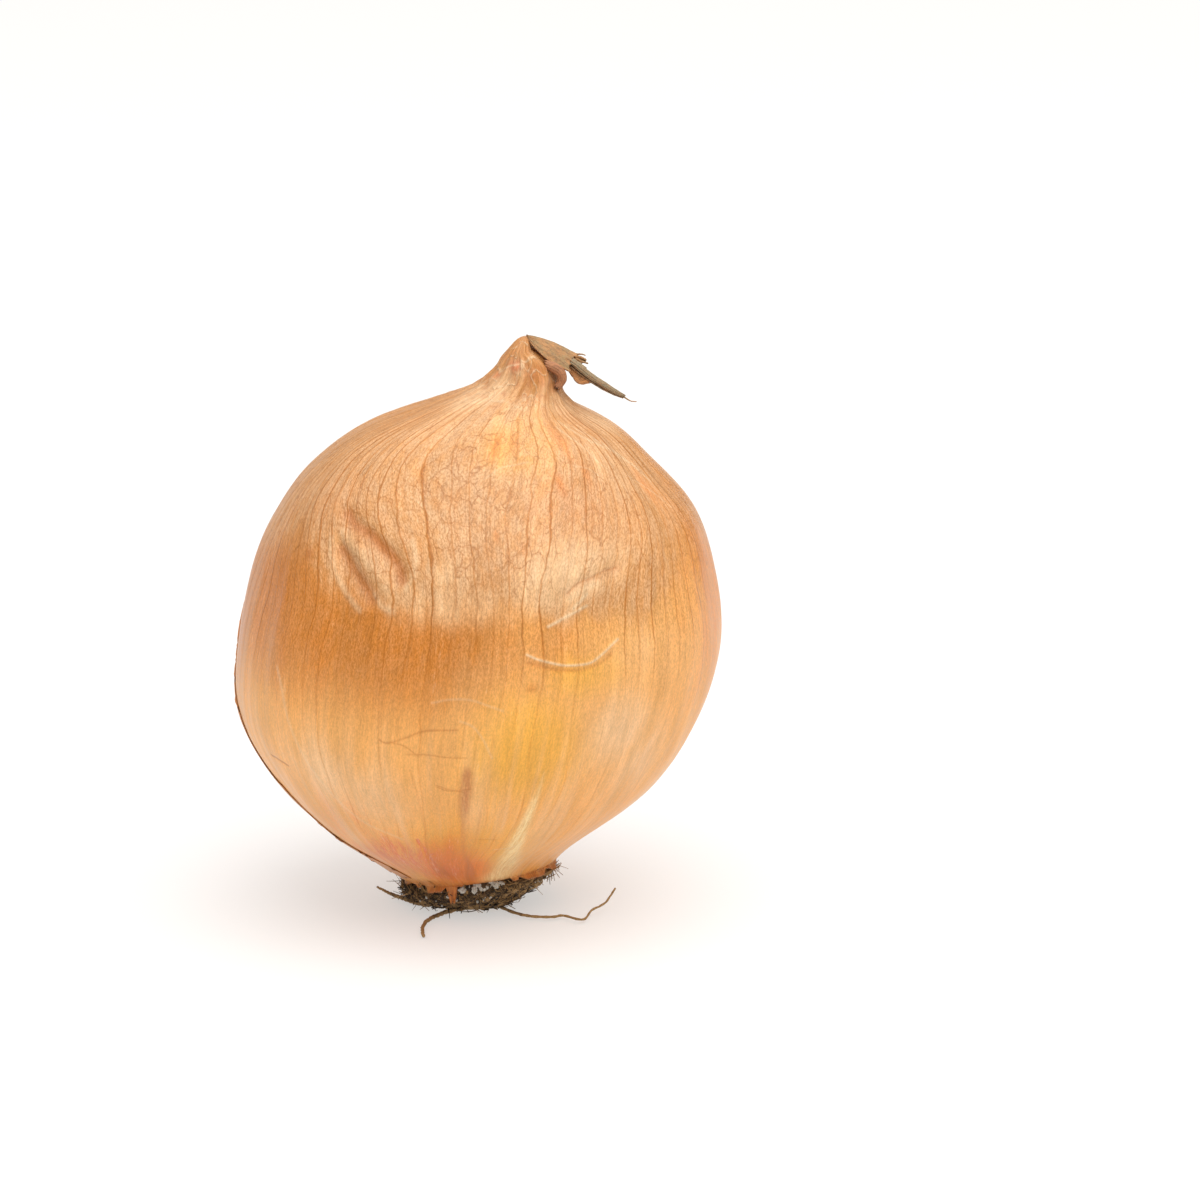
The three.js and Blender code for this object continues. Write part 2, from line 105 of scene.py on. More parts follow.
# Creases: half width, lift (a groove is below nought), mask and its strength, then the lines that share them,
# each through (azimuth, height) points. The dark mask along a groove is painted shade, with real streaks
# among those near the root, and the pale mask along a ridge is a painted highlight.
CREASES = (
    ((1.25, -0.46, "deep", 0.62),
     ((226.9, 71.1), (231.6, 69.6), (236.3, 68.9), (241.3, 67.5), (245.3, 66.3), (248.2, 64.8),
      (249.7, 62.9))),
    ((1.15, -0.4, "deep", 0.58), ((229.7, 66.2), (233.5, 64.5), (236.6, 63), (240.1, 61.2), (243, 59.7))),
    ((0.9, -0.14, "deep", 0.2), ((238.2, 72.1), (246.8, 70.1), (250.1, 68.9))),
    ((0.9, 0.12, "pale", 0.3), ((228.3, 68.6), (233, 67), (238, 65.6), (242.5, 63.6), (246, 61.6))),
    ((0.55, 0.14, "pale", 0.42),
     ((225.4, 67.4), (227.9, 64.9), (230.3, 63.2), (233.6, 61.2), (237.4, 59.2), (240, 58))),
    ((0.6, 0.14, "pale", 0.4), ((243, 60.5), (245.4, 59.1), (248.8, 58.3))),
    ((0.5, 0.08, "pale", 0.35), ((251, 68.6), (252.6, 66.4), (252.9, 64), (251.4, 61.8))),
    ((0.2, 0.14, "pale", 0.9),
     ((281.7, 52.2), (284.1, 51.4), (287.2, 50.7), (290.8, 50), (294.6, 49.8), (297.9, 49.9), (300.5, 50.8),
      (303.1, 51.9), (305.4, 52.9))),
    ((0.5, -0.12, "deep", 0.4),
     ((282, 50.9), (286.9, 49.8), (291.3, 49.1), (296.3, 49), (300.4, 49.6), (303.6, 50.8))),
    ((1, -0.24, "deep", 0.3), ((308.3, 63.6), (304.1, 62.9), (299.7, 62.4), (296.2, 62), (292.9, 60.6))),
    ((0.24, 0.12, "pale", 0.9), ((287, 56.2), (289.8, 56.8), (292.4, 57.4), (295.1, 58), (297.9, 58.6))),
    ((0.36, 0.1, "pale", 0.8), ((294.1, 58.4), (296.2, 59.5), (298, 60.4))),
    ((0.17, -0.06, "crack", 0.4), ((292.9, 60.7), (295.9, 62), (299.6, 62.5), (303.7, 63.3), (307.7, 63.5))),
    ((0.6, 0.08, "pale", 0.4), ((293.5, 59.9), (297.2, 60.9), (301.2, 61.6))),
    ((0.2, 0.05, "pale", 0.3),
     ((207.9, 85), (233.3, 85.8), (263.6, 86), (287.5, 84.9)),
     ((271, 77), (276.6, 78.3), (282.8, 78.6), (288.9, 78.9)),
     ((308.9, 77.8), (314.3, 77.1), (317.6, 75.9)),
     ((246.6, 74.4), (250.7, 73.6), (254.4, 72.5)),
     ((260.6, 44.7), (264.7, 45.3), (269.4, 45.2), (273.7, 44.2), (277, 43.3)),
     ((267.4, 41.7), (270.6, 40.7), (273.5, 38.3), (276, 35.3))),
    ((0.17, -0.07, "crack", 0.55), ((248.9, 37.9), (250.9, 37.5), (255, 38.6), (259.8, 40), (267, 40.2))),
    ((0.15, -0.06, "crack", 0.5),
     ((251.7, 37.7), (255.1, 37.2), (258.4, 35.6)),
     ((263, 30.3), (265.8, 29.6), (269.8, 29))),
    ((0.15, -0.06, "crack", 0.45), ((255.7, 35.8), (260.3, 35.9), (265.4, 35.5), (269.9, 35.3))),
    ((0.22, -0.08, "crack", 0.9), ((209.5, 30), (213.4, 29.9), (217.7, 29.4))),
    ((0.5, -0.08, "red", 1), ((255.5, 18.5), (256.9, 16), (257.2, 13.2), (255.2, 10.7), (254, 7.5))),
    ((0.36, -0.05, "deep", 0.25),
     ((266, 28.2), (266.2, 21), (265.6, 12), (265, 7)),
     ((298, 24.1), (298.8, 19.1), (303, 11), (306.7, 7))),
    ((0.36, -0.07, "deep", 0.31), ((274.8, 24.9), (274.2, 17), (271.5, 8.2))),
    ((0.36, -0.05, "deep", 0.22),
     ((280.7, 34.9), (280.4, 28), (280.3, 21), (280.6, 9)),
     ((302.5, 31.7), (301.5, 24), (303.5, 9.1)),
     ((292.6, 16.7), (294.2, 8.6)),
     ((319, 31), (318.5, 22), (321, 11)),
     ((307.2, 21.6), (306.1, 17.5), (305.9, 12.5))),
    ((0.36, -0.04, "deep", 0.19),
     ((276, 39.1), (275.4, 31.4), (274.9, 21.2)),
     ((286, 38.2), (285.8, 27.7), (286.2, 19.1))),
    ((0.36, -0.05, "deep", 0.19), ((302, 18.1), (306, 8.7))),
    ((0.14, -0.05, "crack", 0.5), ((263.3, 29.9), (266.5, 29.2), (271.5, 29.6))),
    ((0.14, -0.05, "crack", 0.4), ((276, 18.8), (281.7, 18.6))),
    ((0.6, -0.04, "bruise", 0.4), ((291.9, 18.9), (293.8, 15.1), (295, 10.6), (295.4, 7))),
    ((0.36, -0.06, "deep", 0.31), ((256.6, 33), (258.1, 27.3), (258.2, 18), (256.8, 12), (255.8, 7))),
    ((0.4, 0.06, "pale", 0.6), ((318, 83), (325, 80.6), (334, 78.2), (341, 75))),
    ((0.25, 0.05, "pale", 0.5), ((324, 82.4), (331, 79.8), (338, 76.5), (343, 73))),
    ((0.25, 0.05, "pale", 0.4), ((312, 82.5), (318, 80), (322, 77))),
    ((0.2, 0.05, "pale", 0.35), ((331, 75), (337, 72.5), (342, 69))),
    ((0.14, 0.06, "pale", 0.5), ((282.6, 16), (288.1, 16.2), (290.5, 16.8))),
    ((0.16, 0.06, "pale", 0.7),
     ((215.1, 89.8), (235.8, 91), (266.5, 91.5)),
     ((266.5, 92), (278.3, 91.7), (296, 92.3), (314.1, 92.2))),
    ((0.14, 0.06, "pale", 0.7), ((265.2, 92), (263.6, 90.9), (262.3, 89.7))),
    ((0.4, 0.05, "pale", 0.3),
     ((218, 46.5), (220.3, 43.5), (223.1, 37.9), (229.4, 29.8), (238, 22.2), (250, 18.5))),
)

# The darker band round the girth is painted shade, where the skin turns away from both the light above
# and the floor below: azimuth, height of its upper edge and of its lower edge, strength, and how softly it
# fades at the upper edge.
GIRTH_SHADE = np.array((
    (20, 58, 44, 0.8, 6), (100, 58, 45, 0.9, 6), (180, 62, 46, 0.6, 9), (207, 65, 45, 0.85, 11),
    (221, 65, 46, 0.9, 10), (236, 60.5, 45, 0.85, 6), (245, 59.3, 44.5, 0.9, 3.6), (253, 59.6, 45, 0.9, 3.2),
    (260, 60.4, 45, 0.9, 3.2), (268, 60.4, 47.5, 0.8, 3.6), (275, 60, 48, 0.65, 4), (282.5, 59.7, 47, 0.5, 4),
    (290, 56.5, 46.5, 0.55, 5), (297.5, 57.4, 49.7, 0.4, 5), (305, 56, 50, 0.2, 6), (314, 55, 49, 0.15, 6),
    (326, 60, 52, 0.35, 8), (335, 64, 52, 0.45, 9), (347, 63, 52, 0.5, 9),
))

# Patches of each mask: azimuth, height, half width round the bulb, half height, strength and tilt. Some are
# stains of the skin, and some are painted sheen, highlights, shade and reflection, as said at each mask.
SKIN_PATCHES = {
    "gold": (
        (284, 36, 11.5, 12, 1), (296, 47.5, 9, 5, 0.7), (284, 40.2, 1, 1.4, 0.9), (284.6, 36, 1, 1.3, 0.8),
        (278.4, 38, 0.9, 1, 0.8), (274, 16, 15, 9.5, 0.9), (284, 80.5, 10, 5.5, 0.45),
    ),
    "red": (
        (243, 13.5, 10, 5.5, 1, 15), (234, 13, 7, 4, 0.9), (253, 10, 5, 4, 1), (227, 20, 9, 7, 0.45, 25),
        (259.2, 15, 0.6, 0.6, 1), (261.1, 10.1, 0.6, 0.6, 1), (249, 91, 1.4, 1, 0.8),
        (215, 89.3, 1.2, 0.8, 0.7, 20), (285, 90, 1.6, 1.3, 0.5), (305, 88.5, 1.5, 1.6, 0.25),
    ),
    "bruise": (
        (255.2, 9.2, 1.5, 1.4, 0.6), (232, 6.4, 8, 1, 0.8), (262, 6.2, 4, 0.6, 0.5),
    ),
    "amber": (
        # The broad amber patch at azimuth 346 is a painted orange reflection on the right rim.
        (266, 11, 7, 10, 0.95), (275, 8, 10, 4, 0.55), (272, 17, 10, 7, 0.3), (346, 52, 17, 26, 0.34),
        (273.6, 80.8, 1.6, 2.4, 0.5), (283.6, 81, 1.6, 2.2, 0.5), (308, 81, 1.5, 3.5, 0.5),
        (312, 77, 1.6, 3, 0.5), (300, 75.7, 1, 2.5, 0.5), (275, 69.7, 0.8, 1.6, 0.5),
        (282, 67.3, 0.8, 1.2, 0.4), (337, 73, 3, 5, 0.4), (295, 89, 3, 2, 0.25),
    ),
    "deep": (
        # Of these dark patches, the one at azimuth 345 is painted shade on the right rim, the one at 208
        # painted shade on the left side, and the one at 272 painted shade near the root.
        (283.4, 46.8, 1.6, 1.2, 0.5, 20), (219.4, 64.6, 1.6, 1.2, 0.6), (345, 52, 14, 26, 0.34),
        (272, 16.5, 12, 8, 0.26), (304, 73, 15, 7, 0.3), (208, 60, 11, 10, 0.35), (300, 90.5, 2.5, 1.5, 0.4),
    ),
    "pink": (
        (186, 50, 15, 24, 0.6), (215, 72, 14, 7, 0.4), (246, 91, 2.2, 1.6, 1), (225, 88.8, 2, 1.2, 0.7),
        (225, 87, 3, 1.6, 0.8),
    ),
    # Pale peach patches: mostly painted sheen and highlights, with some pale skin.
    "wash": (
        (262, 64, 6, 3.5, 0.5), (308, 38, 9, 11, 0.8, 60), (312, 50, 9, 6, 0.3), (319, 31, 10, 9, 0.6),
        (247, 27, 8, 8, 0.7), (235, 88, 4, 4, 0.8), (262, 90, 2.5, 3, 0.5), (221, 86.2, 6, 2.6, 0.95),
        (340, 84.5, 6, 3, 0.7), (355, 81.5, 9, 3.5, 0.7), (312, 88, 2, 2, 0.5), (233, 30, 9, 9, 0.7),
        (255, 84, 16, 4, 0.35), (300, 84, 10, 4, 0.25), (278, 73, 12, 8, 0.2), (266, 59.5, 14, 4.5, 0.6),
        (292, 63, 13, 6, 0.85, 12), (330, 76, 12, 7, 0.5),
    ),
}

# The mark of an old bruise up from the roots, and the pale streak beside it: points and half widths.
BRUISE = (
    ((270.6, 33.6), (270.6, 31.5), (270.5, 29), (269.9, 25.5), (270.1, 22), (270.8, 17.5), (272, 13.3),
     (270, 9.8), (267.6, 7)),
    (0.6, 1.1, 1.15, 0.9, 0.55, 0.42, 0.5, 0.8, 1.1),
)
STREAK = (
    ((285, 6.5), (289.2, 8.8), (290.6, 13), (289.7, 17.2), (288.9, 20.5), (288.9, 23.5), (289.2, 27.5),
     (289.7, 32.5)),
    (2.6, 2.5, 2, 1.6, 1.2, 0.95, 0.65, 0.35),
)
MASKS = ("over", "band", "deep", "pale", "crack", "gold", "amber", "red", "pink", "wash", "bruise", "streak")


# ---- Shape helpers -----------------------------------------------------------------------------------------

def ease(start, end, x):
    """Smoothly from 0 at start to 1 at end."""
    share = np.clip((np.asarray(x, float) - start) / (end - start), 0.0, 1.0)
    return share * share * (3.0 - 2.0 * share)


def blend(a, b, share):
    return a + (b - a) * share


def run_through(at, values):
    """A smooth run through samples, whose slope at each is the mean of the slopes on its two sides."""
    at = np.asarray(at, float)
    values = np.asarray(values, float).reshape(len(at), -1)
    side = np.diff(values, axis=0) / np.diff(at)[:, None]
    slope = np.vstack([side[:1], (side[:-1] + side[1:]) / 2, side[-1:]])

    def evaluate(x):
        x = np.clip(np.atleast_1d(np.asarray(x, float)), at[0], at[-1])
        i = np.clip(np.searchsorted(at, x, side="right") - 1, 0, len(at) - 2)
        gap = (at[i + 1] - at[i])[:, None]
        t = (x - at[i])[:, None] / gap
        return (
            (2 * t**3 - 3 * t**2 + 1) * values[i]
            + (t**3 - 2 * t**2 + t) * gap * slope[i]
            + (3 * t**2 - 2 * t**3) * values[i + 1]
            + (t**3 - t**2) * gap * slope[i + 1]
        )

    return evaluate


def through(values):
    """A run through a short list, for shares from 0 to 1."""
    return run_through(np.linspace(0, 1, len(values)), values)


def wander(x):
    """A wandering line with no repeat that shows, for torn edges."""
    return 0.5 * np.sin(x) + 0.3 * np.sin(2.3 * x + 1.1) + 0.2 * np.sin(5.1 * x + 2.6)


def ripples(points, size, seed, stretch=(1, 1, 1), waves=14):
    """Smooth noise within about -1 to 1 whose swells are about as wide as size."""
    draw = np.random.RandomState(seed)
    total = np.zeros(len(points))
    for _ in range(waves):
        direction = draw.normal(size=3)
        direction /= np.linalg.norm(direction)
        direction *= 2 * math.pi / (size * draw.uniform(0.8, 2.0)) / np.asarray(stretch, float)
        total += np.cos(points @ direction + draw.uniform(0, 2 * math.pi))
    return total / math.sqrt(waves)


level_at = run_through([level[0] for level in BULB_LEVELS], [level[1:] for level in BULB_LEVELS])
loose_left = through(LOOSE_LEFT)
loose_right = through(LOOSE_RIGHT)
loose_top = through(LOOSE_TOP)


def slimming(z, azimuth):
    """How much slimmer the bulb is under the loose skin."""
    share = np.clip((z - LOOSE_FOOT) / (max(LOOSE_TOP) - LOOSE_FOOT), 0, 1)
    turn = np.mod(azimuth, 360)
    inside = ease(-6, 4, loose_left(share)[:, 0] - turn) * ease(-6, 4, turn - loose_right(share)[:, 0])
    return UNDER_LOOSE * inside * (1 - ease(*LOOSE_CLEARED, z))


def from_middle(z, azimuth, middle, height, tilt):
    """Millimetres along and across a tilted patch of the skin, from its middle."""
    across = np.radians(np.mod(azimuth - middle + 180, 360) - 180) * level_at(z)[:, 0]
    rise = z - height
    slant = math.radians(tilt)
    along = across * math.cos(slant) + rise * math.sin(slant)
    return along, rise * math.cos(slant) - across * math.sin(slant)


def relief(z, azimuth):
    """How far the skin stands out from its plain round form."""
    angle = np.radians(azimuth)
    on_body = ease(6, 22, z) * (1 - ease(78, 88, z))
    out = OUT_OF_ROUND * on_body * (np.cos(3 * angle + 0.6) + 0.6 * np.cos(7 * angle + z / 14))
    on_neck = ease(76, 86, z) * (1 - 0.6 * ease(91, 94, z))
    out += PLEAT_DEPTH * on_neck * np.cos(PLEAT_COUNT * angle + 0.9 * np.sin(3 * angle + z / 5))
    for middle, height, tilt, length, width, depth in DENTS:
        along, across = from_middle(z, azimuth, middle, height, tilt)
        out -= depth * np.exp(-((along / length) ** 4) - (across / width) ** 2)
    return out - slimming(z, azimuth)


def rim_tilt(angle):
    """How much the root plate's rim stands above its middle at an angle."""
    return RIM_TILT * np.cos(angle) - RIM_NOD * np.sin(angle)


def skin_point(z, azimuth, share=1.0, extra=0.0):
    """Points of the skin, in millimetres; share is how far out from the level's middle they lie."""
    z = np.atleast_1d(np.asarray(z, float))
    azimuth = np.broadcast_to(np.asarray(azimuth, float), z.shape)
    level = level_at(z)
    angle = np.radians(azimuth)
    out = relief(z, azimuth) + extra
    dome = (1 - share) * (z > NECK_Z - SAME_HEIGHT)
    return np.stack([
        level[:, 2] + share * (level[:, 0] + out) * np.cos(angle) + DOME_LEAN * dome,
        share * (level[:, 1] + out) * np.sin(angle),
        z + rim_tilt(angle) * (1 - ease(FOOT_Z, RIM_FADES, z)) * share + DOME_RISE * dome * (2 - dome),
    ], axis=1)


def skin_normal(z, azimuth, step=0.5):
    """Outward directions of the skin."""
    round_it = skin_point(z, azimuth + step) - skin_point(z, azimuth - step)
    rising = skin_point(z + step, azimuth) - skin_point(z - step, azimuth)
    normal = np.cross(round_it, rising)
    return normal / np.linalg.norm(normal, axis=1)[:, None]


def vein_foot(z, azimuth):
    """Azimuth at the girth of the vein that runs through a point."""
    turn = np.mod(azimuth - 90, 360) - 180
    angle = np.radians(turn)
    pull = FAN_PULL * ease(56, 86, z) * np.exp(-(turn / FAN_WIDTH) ** 4)
    return azimuth - pull * np.sin(angle) + FOOT_SLIP * ease(17, FOOT_Z, z) * np.cos(angle)


def girth_of(z, azimuth):
    """Millimetres round the bulb at a point, as the veins count them: fewer where they crowd."""
    spacing = vein_foot(z, azimuth + 0.5) - vein_foot(z, azimuth - 0.5)
    return 2 * math.pi * level_at(z)[:, 0] / spacing


def flow_point(foot, length):
    """Points on a tube as wide as the girth, on which noise follows the veins and has no seam."""
    angle = np.radians(foot)
    return np.stack([GIRTH_RADIUS * np.cos(angle), GIRTH_RADIUS * np.sin(angle), length], axis=1)


def profile_length():
    """Distance up the profile of the bulb as a run over height."""
    z = np.linspace(FOOT_Z, NECK_Z, 400)
    step = np.hypot(np.diff(level_at(z)[:, 0]), np.diff(z))
    return lambda height: np.interp(height, z, np.concatenate([[0], np.cumsum(step)]))


climb = profile_length()


def length_of(line):
    """Length of a line of points."""
    return float(np.linalg.norm(np.diff(line, axis=0), axis=1).sum())


def nearest(points, line, widths=None):
    """Distance of points from a line of points, and with widths the half width of the line there."""
    best = np.full(len(points), 1e9)
    width = np.zeros(len(points))
    for i in range(len(line) - 1):
        a, b = line[i], line[i + 1]
        step = b - a
        share = np.clip(((points - a) @ step) / max(step @ step, 1e-9), 0, 1)
        distance = np.linalg.norm(points - a - share[:, None] * step, axis=1)
        closer = distance < best
        best[closer] = distance[closer]
        if widths is not None:
            width[closer] = blend(widths[i], widths[i + 1], share[closer])
    return (best, width) if widths is not None else best


def finer(values, steps=6):
    """A short list with more samples between its own."""
    return through(values)(np.linspace(0, 1, (len(values) - 1) * steps + 1))


def smooth_line(marks, steps=6):
    """The line on the skin through (azimuth, height) marks, in millimetres."""
    fine = finer(marks, steps)
    return skin_point(fine[:, 1], fine[:, 0])


# ---- Mesh helpers ------------------------------------------------------------------------------------------

# Vertices nearer than this are merged, in metres.
SAME_PLACE = 1e-6


def clear_selection():
    if bpy.context.object and bpy.context.object.mode != "OBJECT":
        bpy.ops.object.mode_set(mode="OBJECT")
    bpy.ops.object.select_all(action="DESELECT")


def take(piece):
    """Makes a piece the one that operators act on."""
    clear_selection()
    piece.select_set(True)
    bpy.context.view_layer.objects.active = piece


@contextmanager
def edit_mode(piece, select_all=True):
    """Works on a piece in edit mode."""
    take(piece)
    bpy.ops.object.mode_set(mode="EDIT")
    if select_all:
        bpy.ops.mesh.select_all(action="SELECT")
    yield
    bpy.ops.object.mode_set(mode="OBJECT")


def started(name):
    """Names the object that a primitive has just added."""
    piece = bpy.context.object
    piece.name = name
    piece.data.name = name
    return piece


def read(items, field, width, kind=np.float32):
    """A field of all of a mesh's vertices, faces or corners."""
    flat = np.empty(len(items) * width, kind)
    items.foreach_get(field, flat)
    return flat


def vertices_of(piece):
    """A piece's vertices in millimetres."""
    return read(piece.data.vertices, "co", 3).reshape(-1, 3).astype(float) / MM


def faces_of(piece):
    """Middles of a piece's faces in millimetres."""
    return read(piece.data.polygons, "center", 3).reshape(-1, 3).astype(float) / MM


def move_vertices(piece, points):
    """Puts a piece's vertices at points in millimetres."""
    piece.data.vertices.foreach_set("co", (np.asarray(points) * MM).astype(np.float32).ravel())
    piece.data.update()


def new_grid(name, across, up):
    """A flat grid to be bent into a sheet, and its vertices' shares across and up."""
    clear_selection()
    bpy.ops.mesh.primitive_grid_add(x_subdivisions=across, y_subdivisions=up, size=1)
    sheet = started(name)
    grid = vertices_of(sheet) * MM + 0.5
    return sheet, grid[:, 0], grid[:, 1]


def new_ring(name, sides, radius, place, fill="NGON"):
    """A level ring, to be extruded upwards."""
    clear_selection()
    bpy.ops.mesh.primitive_circle_add(vertices=sides, radius=radius * MM, fill_type=fill,
                                      location=[value * MM for value in place])
    ring = started(name)
    bpy.ops.object.transform_apply(location=True, rotation=True, scale=True)
    return ring


def raise_ring(step, growth, middle=None):
    """Extrudes what is selected by a step in millimetres and resizes it about its new middle."""
    bpy.ops.mesh.extrude_region_move(TRANSFORM_OT_translate={"value": [value * MM for value in step]})
    about = {"center_override": [value * MM for value in middle]} if middle else {}
    bpy.ops.transform.resize(value=(*growth, 1), **about)


def cap_ring():
    """Extrudes what is selected and draws it together in one point."""
    bpy.ops.mesh.extrude_region_move()
    bpy.ops.mesh.merge(type="CENTER")


def select_only(piece, kind, chosen):
    """Leaves just the chosen vertices or polygons of a piece selected."""
    for name in ("vertices", "edges", "polygons"):
        items = getattr(piece.data, name)
        items.foreach_set("select", np.asarray(chosen if name == kind else np.zeros(len(items)), bool))


def split_faces(piece, chosen):
    """Splits each chosen face in four."""
    clear_selection()
    select_only(piece, "polygons", chosen)
    with edit_mode(piece, select_all=False):
        bpy.ops.mesh.select_mode(type="FACE")
        bpy.ops.mesh.subdivide(number_cuts=1)


def add_modifier(piece, kind, **settings):
    """Adds a modifier and applies it."""
    take(piece)
    bpy.ops.object.modifier_add(type=kind)
    modifier = piece.modifiers[-1]
    for key, value in settings.items():
        setattr(modifier, key, value)
    bpy.ops.object.modifier_apply(modifier=modifier.name)


def subdivide(piece, levels, kind="CATMULL_CLARK"):
    add_modifier(piece, "SUBSURF", levels=levels, render_levels=levels, subdivision_type=kind)


def close_up(piece):
    """Merges doubled vertices and turns all faces outwards."""
    with edit_mode(piece):
        bpy.ops.mesh.remove_doubles(threshold=SAME_PLACE)
        bpy.ops.mesh.normals_make_consistent(inside=False)


def smooth(piece):
    take(piece)
    bpy.ops.object.shade_smooth()


def store_mask(piece, name, values):
    layer = piece.data.attributes.new(name, "FLOAT", "POINT")
    layer.data.foreach_set("value", np.asarray(values, np.float32))


def store_map(piece, name, u, v):
    """A UV map from a U and a V at each corner."""
    layer = piece.data.uv_layers.new(name=name)
    layer.data.foreach_set("uv", np.stack([u, v], axis=1).astype(np.float32).ravel())


def corners_of(piece):
    """The vertex at each corner of each face."""
    return read(piece.data.loops, "vertex_index", 1, np.int32)


def store_wrap(piece, azimuth, length):
    """A UV map whose U is the turn round the bulb and whose V is the distance up it, at the same scale."""
    corner = corners_of(piece)
    first = read(piece.data.polygons, "loop_start", 1, np.int32)
    count = read(piece.data.polygons, "loop_total", 1, np.int32)
    u = (np.mod(np.asarray(azimuth) - 90, 360) / 360)[corner]
    spread = np.maximum.reduceat(u, first) - np.minimum.reduceat(u, first)
    u += np.repeat(spread > 0.5, count) * (u < 0.5)
    store_map(piece, "Wrap", u, (np.asarray(length) / (2 * math.pi * GIRTH_RADIUS))[corner])


def store_grain(piece, along, across):
    """A UV map in centimetres along and across a strip."""
    corner = corners_of(piece)
    store_map(piece, "Grain", along[corner] / 10, across[corner] / 10)


def finish_piece(piece, slot, material, *nodes):
    """Gives a piece its material, hangs it on the body's empty and hides the solids that it stands for."""
    piece.data.materials.clear()
    piece.data.materials.append(material)
    piece.data.update()
    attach(piece, BODY)
    if nodes:
        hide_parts(*nodes)


def join(pieces, name):
    """Joins pieces into the first of them."""
    clear_selection()
    for piece in pieces:
        piece.select_set(True)
    bpy.context.view_layer.objects.active = pieces[0]
    bpy.ops.object.join()
    return started(name)


# ---- Node helpers ------------------------------------------------------------------------------------------

class Value:
    """A node's output; sums, products and the methods lay further nodes on it."""

    def __init__(self, socket):
        self.socket = socket

    def through_node(self, kind, inputs, output=0, **settings):
        return Value(add_node(self.socket.id_data, kind, inputs, **settings).outputs[output])

    def maths(self, operation, a, b=0.0, clamp=False):
        return self.through_node("ShaderNodeMath", {0: a, 1: b}, operation=operation, use_clamp=clamp)

    def __add__(self, other):
        return self.maths("ADD", self, other)

    def __sub__(self, other):
        return self.maths("SUBTRACT", self, other)

    def __rsub__(self, other):
        return self.maths("SUBTRACT", other, self)

    def __mul__(self, other):
        return self.maths("MULTIPLY", self, other)

    def __truediv__(self, other):
        return self.maths("DIVIDE", self, other)

    def __rtruediv__(self, other):
        return self.maths("DIVIDE", other, self)

    def __abs__(self):
        return self.maths("ABSOLUTE", self)

    def at_least(self, other):
        return self.maths("MAXIMUM", self, other)

    def floor(self):
        return self.maths("FLOOR", self)

    def remap(self, low, high, to_low=0.0, to_high=1.0, kind="SMOOTHSTEP"):
        inputs = {"Value": self, "From Min": low, "From Max": high, "To Min": to_low, "To Max": to_high}
        return self.through_node("ShaderNodeMapRange", inputs, "Result", interpolation_type=kind, clamp=True)

    def spread(self, low, high, kind="SMOOTHSTEP"):
        """A noise, which lies mostly between 0.3 and 0.7, spread over another range."""
        return self.remap(0.3, 0.7, low, high, kind)

    def vector_maths(self, operation, other):
        return self.through_node("ShaderNodeVectorMath", {0: self, 1: other}, operation=operation)

    def scaled(self, x, y, z):
        return self.vector_maths("MULTIPLY", (x, y, z))

    def drawn_out(self, rise):
        """Coordinates whose height counts less, so that a pattern on them is longer upwards."""
        return self.scaled(1, 1, rise)

    def noise(self, scale, detail=2.0, roughness=0.5, output="Fac"):
        inputs = {"Vector": self, "Scale": scale, "Detail": detail, "Roughness": roughness}
        return self.through_node("ShaderNodeTexNoise", inputs, output)

    def part(self, axis):
        return self.through_node("ShaderNodeSeparateXYZ", {0: self}, axis)

    def own_number(self):
        """A random number for each whole value."""
        return self.through_node("ShaderNodeTexWhiteNoise", {"W": self}, "Value", noise_dimensions="1D")


def feed(target, value):
    """Links an input to a value, or sets it where the value is a plain one."""
    if isinstance(value, Value):
        target.id_data.links.new(value.socket, target)
    elif target.type == "RGBA":
        target.default_value = (*value[:3], 1)
    else:
        target.default_value = value


def add_node(tree, kind, inputs=None, **settings):
    made = tree.nodes.new(kind)
    made.location = (220 * (len(tree.nodes) % 9), -190 * (len(tree.nodes) // 9))
    for key, value in settings.items():
        setattr(made, key, value)
    for key, value in (inputs or {}).items():
        feed(made.inputs[key], value)
    return made


def source(tree, kind, output=0, **settings):
    """A value from a node that no other feeds."""
    return Value(add_node(tree, kind, **settings).outputs[output])


def masked(tree, name):
    return source(tree, "ShaderNodeAttribute", "Fac", attribute_name=name, attribute_type="GEOMETRY")


def object_place(tree):
    """Object coordinates in millimetres."""
    return source(tree, "ShaderNodeTexCoord", "Object").scaled(1 / MM, 1 / MM, 1 / MM)


def tint(factor, under, over, mode="MIX", tree=None):
    """Lays one colour over another by a mask."""
    made = add_node(tree or factor.socket.id_data, "ShaderNodeMix", data_type="RGBA", blend_type=mode)
    for key, value in ((0, factor), (6, under), (7, over)):
        feed(made.inputs[key], value)
    return Value(made.outputs[2])


def layered(base, *layers):
    """Lays colours over a base, each by its mask."""
    for mask, colour_over in layers:
        base = tint(mask, base, colour_over)
    return base


def toned(base, tone):
    """Multiplies a colour by a tone."""
    grey = tone.through_node("ShaderNodeCombineColor", {0: tone, 1: tone, 2: tone})
    return tint(1.0, base, grey, "MULTIPLY", tone.socket.id_data)


FLOAT = "NodeSocketFloat"
VECTOR = "NodeSocketVector"


def add_group(name, inputs, work_out):
    """A shader node group; its numbers have defaults and its vectors None, and work_out gives its outputs."""
    group = bpy.data.node_groups.new(name, "ShaderNodeTree")
    for label, default in inputs.items():
        kind = VECTOR if default is None else FLOAT
        socket = group.interface.new_socket(name=label, in_out="INPUT", socket_type=kind)
        if default is not None:
            socket.default_value = default
    given = add_node(group, "NodeGroupInput").outputs
    results = work_out(*(Value(given[label]) for label in inputs))
    for label, value in results.items():
        kind = VECTOR if value.socket.type == "VECTOR" else FLOAT
        group.interface.new_socket(name=label, in_out="OUTPUT", socket_type=kind)
    add_node(group, "NodeGroupOutput", results)


